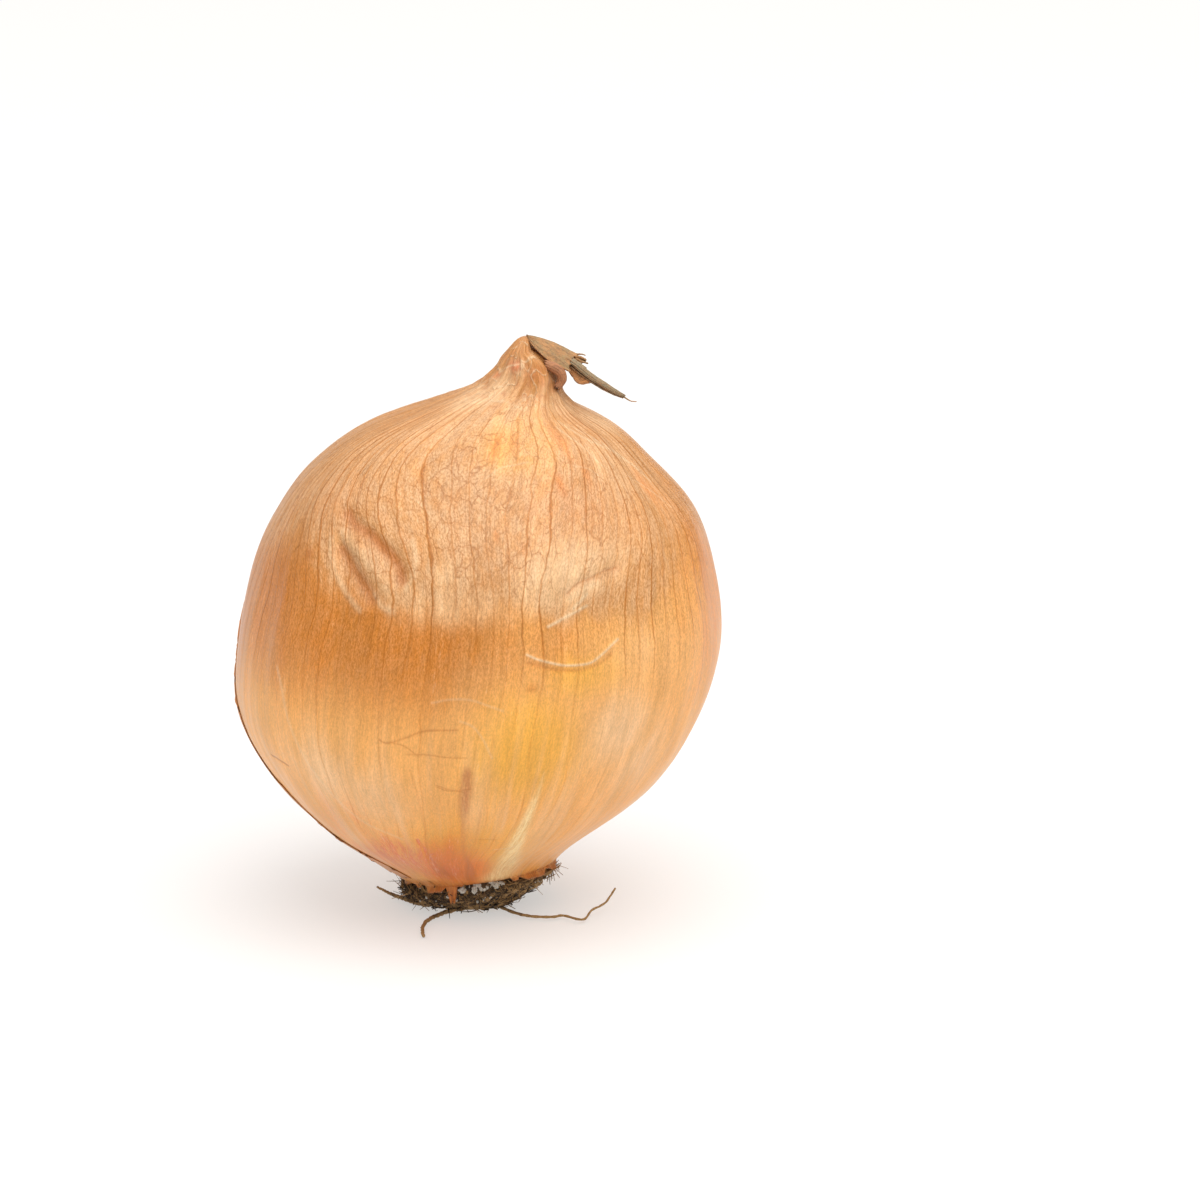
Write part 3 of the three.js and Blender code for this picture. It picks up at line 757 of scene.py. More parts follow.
def use_group(tree, name, inputs):
    """The named outputs of a group with a material's own values."""
    made = add_node(tree, "ShaderNodeGroup", inputs, node_tree=bpy.data.node_groups[name])
    return {socket.name: Value(socket) for socket in made.outputs}


def new_material(name):
    """A material with a Principled shader, and its tree and shader."""
    material = bpy.data.materials.new(name)
    material.use_nodes = True
    return material, material.node_tree, material.node_tree.nodes["Principled BSDF"]


def dress(shader, inputs, height, strength, depth):
    """Feeds a shader its inputs, and a bump whose depth is in millimetres."""
    bump = {"Strength": strength, "Distance": depth * MM, "Height": height}
    inputs = {**inputs, "Normal": height.through_node("ShaderNodeBump", bump)}
    for name, value in inputs.items():
        feed(shader.inputs[name], value)


def skin_flow(wrap, radius):
    """Millimetres round and up the bulb with no seam, from the wrap map."""
    turn = wrap.part(0)
    angle = turn * (2 * math.pi)
    up = wrap.part(1) * (2 * math.pi * GIRTH_RADIUS)
    parts = {0: angle.maths("COSINE", angle) * radius, 1: angle.maths("SINE", angle) * radius, 2: up}
    return {"Flow": wrap.through_node("ShaderNodeCombineXYZ", parts), "Turn": turn, "Up": up}


def skin_veins(flow, turn, girth, count, width, sway):
    """Veins that run from the root to the neck, with fainter cross links between them."""
    slow = flow.drawn_out(0.45).noise(0.055, 2.0, 0.55) - 0.5
    kink = (flow.drawn_out(0.7).noise(0.35) - 0.5) * flow.part(2).remap(25, 70, 0.25, 1.0)
    lines = turn * count + slow * (sway * 6) + kink * 0.42
    number = lines.floor()
    distance = abs(lines - number - 0.5) * (girth / count)
    line = distance.remap(0.0, width, 1.0, 0.0)
    patches = flow.drawn_out(0.3).noise(0.16, 2.0, 0.6)
    strength = number.own_number().remap(0.1, 0.9, 0.45, 1.0) * patches.remap(0.3, 0.55, 0.45, 1)
    bent = flow.drawn_out(0.45).vector_maths("ADD", flow.noise(0.5, output=1).scaled(1.3, 1.3, 1.3))
    cells = bent.through_node("ShaderNodeTexVoronoi", {"Vector": bent, "Scale": 0.44}, "Distance",
                              feature="DISTANCE_TO_EDGE")
    net = cells.remap(0.0, 0.05, 1.0, 0.0) * patches.remap(0.34, 0.56, 0.3, 1)
    return {"Vein": line * strength, "Net": net, "Strip": (lines + 0.5).floor().own_number()}


def skin_grain(flow, fibre, cell):
    """The cells and fibres of dry skin."""
    fibres = flow.drawn_out(0.07).noise(1.3, 3.0, 0.6) * 0.55 + flow.drawn_out(0.16).noise(4.0, 1.0) * 0.45
    cells = flow.drawn_out(0.5).noise(4.2, 2.0, 0.7)
    return {"Fibre": fibres, "Cell": cells, "Height": fibres * fibre + cells * cell}


def dry_fibre(place, size):
    """Mottling, streaks and specks of dead plant fibre, on object coordinates in millimetres."""
    scale = 1.0 / size
    mottle = place.noise(scale, 3.0, 0.6)
    speck = place.noise(scale * 4.5, 2.0, 0.6)
    return {"Mottle": mottle, "Speck": speck, "Height": mottle * 0.6 + speck}


GROUPS = (
    ("Skin Flow", {"Wrap": None, "Radius": GIRTH_RADIUS}, skin_flow),
    ("Skin Veins", {"Flow": None, "Turn": 0, "Girth": 200, "Count": 66, "Width": 0.26, "Sway": 0.4},
     skin_veins),
    ("Skin Grain", {"Flow": None, "Fibre": 1, "Cell": 1}, skin_grain),
    ("Dry Fibre", {"Place": None, "Size": 1.0}, dry_fibre),
)


# ---- Settings ----------------------------------------------------------------------------------------------

def colour(name, description, default):
    return FloatVectorProperty(name=name, description=description, subtype="COLOR", size=3, min=0, max=1,
                               default=default)


def size(name, description, default, low, high):
    """A length whose numbers are in millimetres."""
    return FloatProperty(name=name, description=description, subtype="DISTANCE", unit="LENGTH",
                         default=default * MM, min=low * MM, max=high * MM)


def count(name, description, default, low, high):
    return IntProperty(name=name, description=description, default=default, min=low, max=high)


def share_of(name, description, default):
    return FloatProperty(name=name, description=description, default=default, min=0, max=1, subtype="FACTOR")


class OnionSkinSettings(bpy.types.PropertyGroup):
    """Colours and relief of the papery skin."""

    upper: colour("Upper", "Skin above the girth", (0.58, 0.235, 0.05))
    lower: colour("Lower", "Skin below the girth", (0.88, 0.43, 0.125))
    # The band colour is painted shade round the girth; the loose skin's blotches take the same colour.
    band: colour("Band", "Deeper skin round the girth", (0.57, 0.18, 0.012))
    # Painted shade in grooves, near the root, on the left side and on the right rim, and real dark stains and
    # cracks.
    deep: colour("Grooves", "Skin in grooves and stains", (0.40, 0.10, 0.012))
    # Painted highlights along ridges, crescents and creases, with some pale dry skin and torn flakes.
    pale: colour("Ridges", "Dry skin on ridges and torn flakes", (0.78, 0.56, 0.33))
    gold: colour("Gold", "Thin skin over a yellow layer", (0.86, 0.425, 0.068))
    pink: colour("Pink", "Rosy skin at the sides", (0.52, 0.20, 0.075))
    # The haze is partly the skin's dry whitish haze and partly painted sheen of the light above.
    haze_and_sheen: colour("Haze", "Dry whitish haze over the upper skin", (0.69, 0.47, 0.28))
    haze_and_sheen_amount: share_of("Haze amount", "How much the haze covers", 0.55)
    # Painted sheen and highlights, with some pale peach skin.
    wash: colour("Wash", "Pale peach skin", (0.87, 0.54, 0.275))
    # Clear orange skin, and a painted orange reflection on the right rim.
    amber: colour("Amber", "Clear orange skin", (0.75, 0.20, 0.016))
    red: colour("Red", "Reddish hatching near the root", (0.66, 0.15, 0.05))
    bruise: colour("Bruise", "Red-brown mark up from the root", (0.44, 0.14, 0.042))
    streak: colour("Streak", "Cream streak up from the root", (0.92, 0.70, 0.35))
    vein: colour("Veins", "Dry veins under the skin", (0.37, 0.125, 0.02))
    vein_count: count("Vein count", "Veins round the bulb", 80, 12, 120)
    rib_height: size("Rib height", "Height of the soft ribs under the skin", 0.05, 0, 0.5)
    swell_height: size("Swell height", "Height of the slow swells of the skin", 0.2, 0, 1)
    roughness: share_of("Roughness", "Roughness of the skin", 0.34)


class OnionLooseSettings(bpy.types.PropertyGroup):
    """The loose outer skin."""

    thickness: size("Thickness", "Thickness of the dry sheet", 0.15, 0.05, 0.6)
    dry: colour("Dry skin", "Loose skin", (0.62, 0.31, 0.14))
    edge: colour("Edge", "Torn edge of the loose skin", (0.46, 0.20, 0.08))


class OnionLeafSettings(bpy.types.PropertyGroup):
    """The withered leaf."""

    thickness: size("Thickness", "Thickness of the dead leaf", 0.28, 0.05, 0.6)
    dry: colour("Dry leaf", "Top of the dead leaf", (0.31, 0.19, 0.08))
    tan: colour("Tan", "Warmer patches of the dead leaf", (0.42, 0.205, 0.075))
    grey: colour("Grey", "Weathered grey-green of the shred", (0.30, 0.235, 0.135))
    # Brown is also painted shade on the sheets' inner sides and on the torn inner layer in the fold.
    brown: colour("Brown", "Inside and underside", (0.29, 0.135, 0.055))
    orange: colour("Orange", "Skin that the leaf still carries", (0.50, 0.22, 0.075))
    dusky: colour("Dusky", "Rolled scrap of skin beside the neck", (0.40, 0.17, 0.075))


class OnionRootSettings(bpy.types.PropertyGroup):
    """The root mat."""

    rootlets: count("Rootlets", "Broken rootlets in the mat", 2400, 100, 3000)
    grains: count("Grains", "Grains of soil in the mat", 170, 0, 600)
    # The dark is partly the old roots' colour and partly painted shade within the mat; the straw is darkened
    # a little for the same shade.
    dark: colour("Dark", "Old roots deep in the mat", (0.028, 0.016, 0.009))
    straw: colour("Straw", "Dry roots at the outside of the mat", (0.38, 0.225, 0.085))
    soil: colour("Soil", "Grey grains of soil and cork", (0.56, 0.54, 0.48))


class OnionHemSettings(bpy.types.PropertyGroup):
    """The torn lower edge of the skin."""

    flakes: count("Flakes", "Small torn flakes round the root mat", 30, 0, 120)
    thickness: size("Thickness", "Thickness of a flake", 0.1, 0.05, 0.4)


class OnionStageSettings(bpy.types.PropertyGroup):
    """Floor, lights and camera."""

    floor_size: FloatProperty(name="Floor size", description="Width of the floor", default=8.0, min=1,
                              unit="LENGTH", subtype="DISTANCE")
    floor_tone: colour("Floor", "Colour of the floor", (0.41, 0.398, 0.39))
    floor_glow: FloatProperty(name="Floor glow", description="Light that comes up through the floor",
                              default=0.5, min=0, max=2)
    box_power: FloatProperty(name="Softbox", description="Power of the overhead softbox", default=11.0, min=0,
                             subtype="POWER", unit="POWER")
    lens: FloatProperty(name="Lens", description="Focal length of the camera", default=163.64 * MM, min=0.01,
                        subtype="DISTANCE_CAMERA")


# ---- Bulb --------------------------------------------------------------------------------------------------

def build_bulb_cage():
    """A ring at the root plate, extruded level by level up to the neck and closed at both ends."""
    rising = np.linspace(FOOT_Z, NECK_Z, 300)
    heights = np.interp(np.linspace(0, climb(NECK_Z), BULB_RINGS), climb(rising), rising)
    levels = level_at(heights)
    bulb = new_ring("bulb_skin", BULB_SIDES, levels[0][0], (levels[0][2], 0, heights[0]), "NOTHING")
    with edit_mode(bulb):
        for i in range(1, BULB_RINGS):
            raise_ring((levels[i][2] - levels[i - 1][2], 0, heights[i] - heights[i - 1]),
                       levels[i][:2] / levels[i - 1][:2], (levels[i][2], 0, heights[i]))
        cap_ring()
    select_only(bulb, "vertices", vertices_of(bulb)[:, 2] < FOOT_Z + SAME_HEIGHT)
    with edit_mode(bulb, select_all=False):
        bpy.ops.mesh.select_mode(type="VERT")
        cap_ring()
        bpy.ops.mesh.select_all(action="SELECT")
        bpy.ops.mesh.normals_make_consistent(inside=False)
    return bulb


def skin_places(points):
    """Height, azimuth and share of the radius of points on the plain round form."""
    z = np.clip(points[:, 2], FOOT_Z, NECK_Z)
    level = level_at(z)
    x = (points[:, 0] - level[:, 2]) / level[:, 0]
    y = points[:, 1] / level[:, 1]
    share = np.hypot(x, y)
    share[(z > FOOT_Z + SAME_HEIGHT) & (z < NECK_Z - SAME_HEIGHT)] = 1
    return z, np.mod(np.degrees(np.arctan2(y, x)), 360), np.clip(share, 0, 1)


def hump(distance, half_width):
    """1 on a line, and softly down to 0 on both sides of it."""
    return np.exp(-(distance / half_width) ** 2)


def skin_swell(z, flow, settings):
    """Height of the soft ribs and slow swells of the skin."""
    on_body = ease(8, 20, z) * (1 - ease(88, 92, z)) * level_at(z)[:, 0] / GIRTH_RADIUS
    ribs = settings.rib_height / MM * ripples(flow, 3.6, 5, (1, 1, 14))
    return on_body * (ribs + settings.swell_height / MM * ripples(flow, 11, 8, (1, 1, 1.6)))


def patch_cover(z, azimuth, middle, height, wide, high, strength, tilt=0):
    """How strongly one patch covers points of the skin."""
    along, across = from_middle(z, azimuth, middle, height, tilt)
    return strength * np.exp(-((along / wide) ** 2 + (across / high) ** 2) * 1.4)


def skin_detail(z, azimuth, flow, settings):
    """Extra height of the skin and its masks."""
    plain = skin_point(z, azimuth)
    on_neck = ease(80, 86, z) * (1 - 0.5 * ease(91, 93, z))
    extra = skin_swell(z, flow, settings)
    extra += 0.16 * on_neck * ripples(plain, 2.6, 13, (1, 1, 2.5))
    extra += 0.07 * on_neck * ripples(plain, 1.1, 14, (1, 1, 3))
    masks = {name: np.zeros(len(z)) for name in MASKS}
    top, bottom, depth, soft = (np.interp(azimuth, GIRTH_SHADE[:, 0], GIRTH_SHADE[:, i], period=360) for i in (1, 2, 3, 4))
    masks["over"] = ease(0, 1, (z - top + soft) / (2 * soft))
    # The band mask is painted shade round the girth.
    masks["band"] = depth * ease(bottom - 14, bottom + 9, z)

    def lay(name, cover):
        masks[name] = np.maximum(masks[name], cover)

    for (half_width, lift, name, strength), *lines in CREASES:
        for marks in lines:
            distance = nearest(plain, smooth_line(marks))
            extra += lift * hump(distance, half_width)
            lay(name, strength * hump(distance, half_width * 0.95))
    for name, (marks, widths) in (("bruise", BRUISE), ("streak", STREAK)):
        distance, half_width = nearest(plain, smooth_line(marks), finer(widths)[:, 0])
        masks[name] = hump(distance, half_width) * np.clip(half_width / 0.9, 0, 1)
    for name, patch_list in SKIN_PATCHES.items():
        for one_patch in patch_list:
            lay(name, patch_cover(z, azimuth, *one_patch))
    return extra, masks


def near_creases(piece, reach, widest=10.0):
    """Faces of the plain form that lie near a crease no wider than this."""
    z, azimuth, _ = skin_places(faces_of(piece))
    plain = skin_point(z, azimuth)
    chosen = np.zeros(len(plain), bool)
    for (half_width, *_), *lines in CREASES:
        if half_width > widest:
            continue
        for marks in lines:
            chosen |= nearest(plain, smooth_line(marks, 3)) < max(half_width * 1.7, 0.4) * reach + 0.2
    return chosen


class ONION_OT_bulb(bpy.types.Operator):
    """Builds the bulb's papery skin, from the root plate to the neck"""

    bl_idname = "onion.bulb"
    bl_label = "Bulb Skin"

    def execute(self, context):
        settings = context.scene.onion_skin
        bulb = build_bulb_cage()
        subdivide(bulb, 2, "SIMPLE")
        split_faces(bulb, near_creases(bulb, 1.1))
        split_faces(bulb, near_creases(bulb, 0.85, 0.5))
        z, azimuth, share = skin_places(vertices_of(bulb))
        length = climb(z) - (z < FOOT_Z + SAME_HEIGHT) * (1 - share) * FOOT_RADIUS
        foot = vein_foot(z, azimuth)
        extra, masks = skin_detail(z, azimuth, flow_point(foot, length), settings)
        move_vertices(bulb, skin_point(z, azimuth, share, extra))
        masks["girth"] = girth_of(z, azimuth) * share
        for name, values in masks.items():
            store_mask(bulb, name, values)
        store_wrap(bulb, foot, length)
        smooth(bulb)
        finish_piece(bulb, "onion_skin", skin_material(settings), "bulb")
        return {"FINISHED"}


# Heights between which something sets in or dies away on the skin.
ROOT_FIBRES_END = (8, 34)
GOLD_SETS_IN = (15, 27)
PEACH_AND_SHEEN_ENDS = (18, 50)
INK_DARKENS = (32, 56)
GRAIN_COARSENS = (34, 60)
VEINS_SET_IN = (36, 60)
HAZE_AND_SHEEN_SETS_IN = (40, 50)
SMALL_VEINS_SET_IN = (40, 62)
NET_SETS_IN = (52, 68)
NECK_SETS_IN = (83, 88)
HAZE_AND_SHEEN_THINS = (85, 89)


def skin_material(settings):
    """Papery skin: a dry haze with painted sheen over orange skin, a painted shade band, patches and creases
    by mask (some painted shade and highlights), veins, fibres and cells.
    """
    material, tree, shader = new_material("Onion_Skin")
    flow_parts = use_group(tree, "Skin Flow", {"Wrap": source(tree, "ShaderNodeUVMap", uv_map="Wrap")})
    flow = flow_parts["Flow"]
    place = object_place(tree)
    height = place.part(2)
    along = {"Flow": flow, "Turn": flow_parts["Turn"], "Girth": masked(tree, "girth")}
    veins = use_group(tree, "Skin Veins", {**along, "Count": settings.vein_count})
    minor = use_group(tree, "Skin Veins", {
        **along, "Count": settings.vein_count * 2.3, "Width": 0.2, "Sway": 0.7})
    grain = use_group(tree, "Skin Grain", {
        "Flow": flow, "Fibre": 1.0, "Cell": height.remap(*GRAIN_COARSENS, 0.35, 1.0)})
    fibre = grain["Fibre"]
    cell = grain["Cell"]
    blotch = flow.drawn_out(0.35).noise(0.22, 3.0, 0.6)
    mottle = flow.drawn_out(0.55).noise(0.55, 3.0, 0.65)
    bands = flow.drawn_out(0.06).noise(0.3)

    def edged(name, spread=0.35):
        mask = masked(tree, name)
        return ((mask + (blotch - 0.5) * spread) * mask.remap(0, 0.08)).remap(0.05, 0.95)

    over = edged("over", 0.9)
    golden = edged("gold", 0.7)
    red = edged("red", 0.9)
    near_root = height.remap(*ROOT_FIBRES_END, 1, 0)
    # Pale peach streaks towards the bottom, partly painted sheen of the floor's bounce.
    low = height.remap(*PEACH_AND_SHEEN_ENDS, 1, 0) * (1 - golden * height.remap(*GOLD_SETS_IN, 1, 0))
    neck = height.remap(*NECK_SETS_IN)
    below = 1 - neck * 0.7
    sparse = height.remap(*VEINS_SET_IN).at_least(blotch.remap(0.44, 0.6, 0.08, 0.5))
    vein = veins["Vein"] * sparse * below
    small = minor["Vein"] * height.remap(*SMALL_VEINS_SET_IN, 0.12, 1.0) * below
    net = veins["Net"] * height.remap(*NET_SETS_IN) * below
    crease = neck * abs(place.drawn_out(0.5).noise(0.42) - 0.5).remap(0, 0.035, 1, 0)
    # Pinkish patches that are the neck's own colour.
    neck_blush = neck * place.noise(0.7, 3.0, 0.6).remap(0.45, 0.65)
    # Haze over the upper skin: partly the skin's dry whitish haze and partly painted sheen of the light
    # above.
    haze_and_sheen = (over.remap(0, 1, 0.3, 1.0) * height.remap(*HAZE_AND_SHEEN_SETS_IN) * (1 - golden * 0.8)
            * height.remap(*HAZE_AND_SHEEN_THINS, 1, 0.5) * mottle.remap(0.34, 0.62, 0.5, 1)
            * cell.remap(0.34, 0.6, 0.45, 1) * vein.maths("SUBTRACT", 1, vein, clamp=True))
    frayed = fibre.remap(0.38, 0.6, 0.45, 1)
    # Darker at the skin's lowest edge, by the root mat.
    darker_at_foot = flow_parts["Up"].remap(-0.6, 1.6, 1, 0) * mottle.remap(0.38, 0.56, 0.25, 0.85)
    ink = tint(height.remap(*INK_DARKENS), settings.band, settings.vein)
    faint = (small * 0.3).at_least(net * 0.6)
    # Of these layers, the band and the dark grooves and patches are painted shade, and the haze, the pale
    # peach patches and streaks and the pale ridges are partly painted sheen and highlights.
    base = layered(
        settings.lower,
        (edged("band", 0.45), settings.band),
        (over, settings.upper),
        (edged("pink"), settings.pink),
        (edged("wash", 0.8), settings.wash),
        (golden, settings.gold),
        (near_root * fibre.remap(0.46, 0.62) * 0.5, settings.band),
        (low * bands.remap(0.48, 0.66) * 0.5, settings.wash),
        (haze_and_sheen * settings.haze_and_sheen_amount, settings.haze_and_sheen),
        (edged("amber", 0.6), settings.amber),
        (red * fibre.remap(0.42, 0.58, 0.35, 1), settings.red),
        (red * fibre.remap(0.54, 0.62) * 0.38, settings.pale),
        (edged("deep") * 0.85, settings.deep),
        (edged("bruise", 0.3) * frayed * 0.75, settings.bruise),
        (edged("streak", 0.3) * frayed * 0.88, settings.streak),
        (fibre.remap(0.58, 0.72) * blotch.remap(0.45, 0.6) * 0.3, settings.pale),
        (darker_at_foot, settings.bruise),
        (neck_blush * 0.5, settings.pink),
        (crease * 0.55, settings.pale),
        (masked(tree, "pale"), settings.pale),
        (masked(tree, "crack") * 0.75, settings.deep),
        (vein * 0.85, ink),
        (faint, ink),
    )
    streaks = fibre.spread(-1, 1) * height.remap(*GRAIN_COARSENS, 0.09, 0.11)
    speckle = cell.spread(-1, 1) * height.remap(*GRAIN_COARSENS, 0.09, 0.19)
    tone = ((streaks + 0.985) * (speckle + 1.0) * blotch.spread(0.93, 1.06)
            * veins["Strip"].remap(0, 1, 0.96, 1.035))
    dress(shader, {
        "Base Color": toned(base, tone), "Roughness": cell.spread(-0.05, 0.09) + settings.roughness,
        "IOR": 1.33, "Coat Weight": 0.1, "Coat Roughness": 0.2, "Coat IOR": 1.4,
    }, grain["Height"] + (vein * 0.9 + crease * 1.5), 0.6, 0.1)
    return material


# ---- Loose skin --------------------------------------------------------------------------------------------

class ONION_OT_loose_skin(bpy.types.Operator):
    """Builds the loose outer skin that still wraps the back"""

    bl_idname = "onion.loose_skin"
    bl_label = "Loose Skin"

    def execute(self, context):
        settings = context.scene.onion_loose
        sheet, u, v = new_grid("loose_outer_skin", 230, 130)
        left = loose_left(v)[:, 0] + LOOSE_RAGGED * wander(23 * v)
        right = loose_right(v)[:, 0] + 2.4 * LOOSE_RAGGED * wander(19 * v + 4)
        frayed = 0.4 * wander(90 * v) * ease(0.9, 1, u) - 0.7 * wander(80 * v + 2) * ease(0.9, 1, 1 - u)
        azimuth = blend(right, left, u) + frayed
        foot_z = LOOSE_FOOT + 0.8 * wander(31 * u) + 0.3 * wander(190 * u)
        top_z = loose_top(u)[:, 0] + 1.6 * LOOSE_RAGGED * wander(27 * u + 2) + 0.5 * wander(210 * u)
        z = blend(foot_z, top_z, v)
        near_edge = np.maximum.reduce([ease(0.8, 1, v), 0.35 * ease(0.92, 1, 1 - u), 0.1 * ease(0.9, 1, u)])
        lift = UNDER_LOOSE - 0.02 + LOOSE_CURL * near_edge * (1 - 0.92 * ease(0.5, 0.85, u))
        foot = vein_foot(z, azimuth)
        flow = flow_point(foot, climb(z))
        lift += 0.03 * ripples(flow, 5, 21, (1, 1, 5)) + skin_swell(z, flow, context.scene.onion_skin)
        move_vertices(sheet, skin_point(z, azimuth) + skin_normal(z, azimuth) * lift[:, None])
        edge = np.maximum(ease(0.99, 1, np.maximum(u, 1 - u)), ease(0.985, 1, np.maximum(v, 1 - v)))
        store_mask(sheet, "edge", edge * (0.55 + 0.45 * wander(40 * (u + v))))
        store_wrap(sheet, foot, climb(z))
        add_modifier(sheet, "SOLIDIFY", thickness=settings.thickness, offset=-1)
        smooth(sheet)
        finish_piece(sheet, "loose_skin", loose_material(settings, context.scene.onion_skin), "loose_skin")
        return {"FINISHED"}


def loose_material(settings, skin):
    """Dry sheet of skin with brown torn edges."""
    material, tree, shader = new_material("Loose_Skin")
    flow_parts = use_group(tree, "Skin Flow", {"Wrap": source(tree, "ShaderNodeUVMap", uv_map="Wrap")})
    flow = flow_parts["Flow"]
    veins = use_group(tree, "Skin Veins", {
        "Flow": flow, "Turn": flow_parts["Turn"], "Girth": 230, "Count": 90, "Width": 0.25})
    grain = use_group(tree, "Skin Grain", {"Flow": flow, "Fibre": 1.2, "Cell": 0.6})
    blotch = flow.drawn_out(0.3).noise(0.12, 3.0, 0.6)
    base = layered(
        settings.dry,
        (blotch.remap(0.35, 0.65, 0, 0.6), skin.band),
        (veins["Vein"] * 0.55, skin.vein),
        (masked(tree, "edge"), settings.edge),
    )
    dress(shader, {
        "Base Color": toned(base, grain["Fibre"].spread(0.86, 1.1, "LINEAR")),
        "Roughness": grain["Cell"].spread(0.38, 0.52), "Coat Weight": 0.15, "Coat Roughness": 0.3,
    }, grain["Height"], 0.6, 0.08)
    return material


# ---- Withered leaf -----------------------------------------------------------------------------------------

# The fold's guide lines from its back rim over the crown to its front rim, each from the crest to the tear.
FOLD_LINES = (
    ((9.9, 0.7, 94.9), (11.2, 2.6, 93.9), (13, 3.3, 92.9), (14.9, 3.5, 92), (16.4, 3.3, 91.1),
     (17.6, 3, 90.2)),
    ((9.7, 0.3, 95), (11.1, 0.6, 94.7), (12.7, 0.8, 94.2), (14.5, 0.8, 93.5), (16.3, 0.8, 92.6),
     (18, 0.7, 91.7)),
    ((9.7, -0.1, 94.9), (10.9, -0.8, 94.3), (12.4, -1.2, 93.5), (14.1, -1.3, 92.7), (15.8, -1.3, 91.8),
     (17.5, -1.2, 91)),
    ((9.8, -0.5, 94.7), (10.7, -1.7, 93.7), (12, -2.5, 92.5), (13.6, -2.8, 91.3), (15.2, -2.9, 90.4),
     (16.8, -2.8, 89.7)),
)

# The same for the small hanging flap and for the torn layer inside the fold.
FLAP_LINES = (
    ((16.1, -0.6, 91), (17.4, -1, 89.9), (18.5, -1.2, 89.1), (19.9, -1.5, 88.2)),
    ((16.5, -1.2, 89.9), (17.3, -1.5, 88.9), (18.4, -1.6, 88.3), (19.9, -1.7, 87.9)),
    ((16.6, -1.4, 89.5), (17.7, -1.8, 87.8), (18.6, -1.8, 87.4), (19.9, -1.8, 87.6)),
)
INNER_LINES = (
    ((16.6, 0.9, 91.9), (17.8, 0.9, 91.4), (19, 0.8, 91.1)),
    ((16.6, 0, 91.5), (17.8, 0, 91), (19.4, 0, 90.7)),
    ((16.6, -0.8, 90.8), (17.8, -0.8, 90.4), (19, -0.8, 90.2)),
)

# Rolls: middle line and radii.
SHRED_PATH = (
    (16.8, -1.1, 91), (18, -1.5, 90.1), (19.6, -1.7, 88.8), (21.6, -1.9, 87.5), (23.6, -2, 86.3),
    (25.2, -2, 85.5),
)
SHRED_RADII = (0.75, 0.85, 0.8, 0.7, 0.6, 0.4)
CURL_PATH = (
    (12.6, -3, 91), (13.9, -2.9, 90.4), (15, -2.9, 89.6), (15.3, -2.9, 88.6), (15, -3, 87.8),
    (14.5, -3.3, 87.2),
)
CURL_RADII = (0.7, 0.9, 0.9, 0.85, 0.75, 0.6)
ROLL_SLIT = 50

# Straws and hairs: middle line, radius and radius at the tip.
STRAWS = (
    (((17.2, 0.3, 91.6), (18.3, 0.2, 91.4), (19.2, 0.1, 91)), 0.3, 0.16),
    (((17.4, 0, 91.3), (18.5, -0.1, 90.8), (19.5, -0.3, 90.5)), 0.26, 0.14),
    (((17.2, -0.4, 90.9), (18.2, -0.7, 90.4), (19.2, -0.8, 89.8)), 0.38, 0.2),
    (((17.6, 0.7, 91.8), (18.5, 0.7, 91.8), (19.1, 0.8, 91.6)), 0.18, 0.08),
    (((25, -2, 85.6), (25.7, -2, 85.1), (26.4, -2, 84.7), (27.3, -2, 84.6)), 0.16, 0.08),
)

# The way in which the outer sides of the leaf's sheets look.
LEAF_OUTWARD = (0, -0.5, 1.0)
LEAF_MASKS = ("grey", "orange", "dusky", "inside")


def thicken(piece, thickness, masks, outward):
    """Gives a sheet its thickness and masks; outward tells which way its outer side looks, at a face."""
    outer = len(piece.data.vertices)
    middle = len(piece.data.polygons) // 2
    if np.asarray(piece.data.polygons[middle].normal) @ outward(faces_of(piece)[middle]) < 0:
        with edit_mode(piece):
            bpy.ops.mesh.flip_normals()
    for name in LEAF_MASKS:
        store_mask(piece, name, np.full(outer, masks.get(name, 0.0)))
    add_modifier(piece, "SOLIDIFY", thickness=thickness, offset=-1)
    # Inner sides get the inside mask, which paints dark brown shade on them.
    layer = piece.data.attributes["inside"].data
    inside = read(layer, "value", 1)
    inside[outer:] = 1
    layer.foreach_set("value", inside)
    smooth(piece)
    return piece


def build_sheet(name, lines, columns, rows, thickness, ridge, ragged, masks, rim=0.0):
    """A thin sheet lofted over guide lines, ridged along them and torn at its far end."""
    sheet, t, w = new_grid(name, rows, columns)
    torn = 0.5 + wander(9 * w + 1) * 0.6 + 0.3 * wander(37 * w)
    reach = np.clip(t * (1 - ragged * torn * ease(0.6, 1, t)), 0, 1)
    guides = np.stack([through(line)(reach) for line in lines], axis=1)
    place = np.clip(w * (len(lines) - 1), 0, len(lines) - 1.0001)
    low = place.astype(int)
    a, b, c, d = (guides[np.arange(len(t)), np.clip(low + i, 0, len(lines) - 1)] for i in (-1, 0, 1, 2))
    f = (place - low)[:, None]
    points = 0.5 * (2 * b + (c - a) * f + (2 * a - 5 * b + 4 * c - d) * f**2 + (3 * b - a - 3 * c + d) * f**3)
    width = length_of([line[-1] for line in lines])
    over = ridge * (np.cos(width * 5.5 * w + 1.5 * np.sin(4 * t)) + 0.6 * wander(width * 9 * w + 3 * t))
    points[:, 2] += over * 0.8 + 0.5 * ridge * wander(14 * t + 3 * w)
    points[:, 1] -= over * 0.5
    move_vertices(sheet, points)
    store_grain(sheet, t * length_of(lines[0]), w * width)
    masks = {**masks, "orange": np.maximum(masks.get("orange", 0.0), rim * ease(0.93, 1, w))}
    return thicken(sheet, thickness, masks, lambda _: np.array(LEAF_OUTWARD))


def unit(vectors):
    return vectors / np.linalg.norm(vectors, axis=1)[:, None]


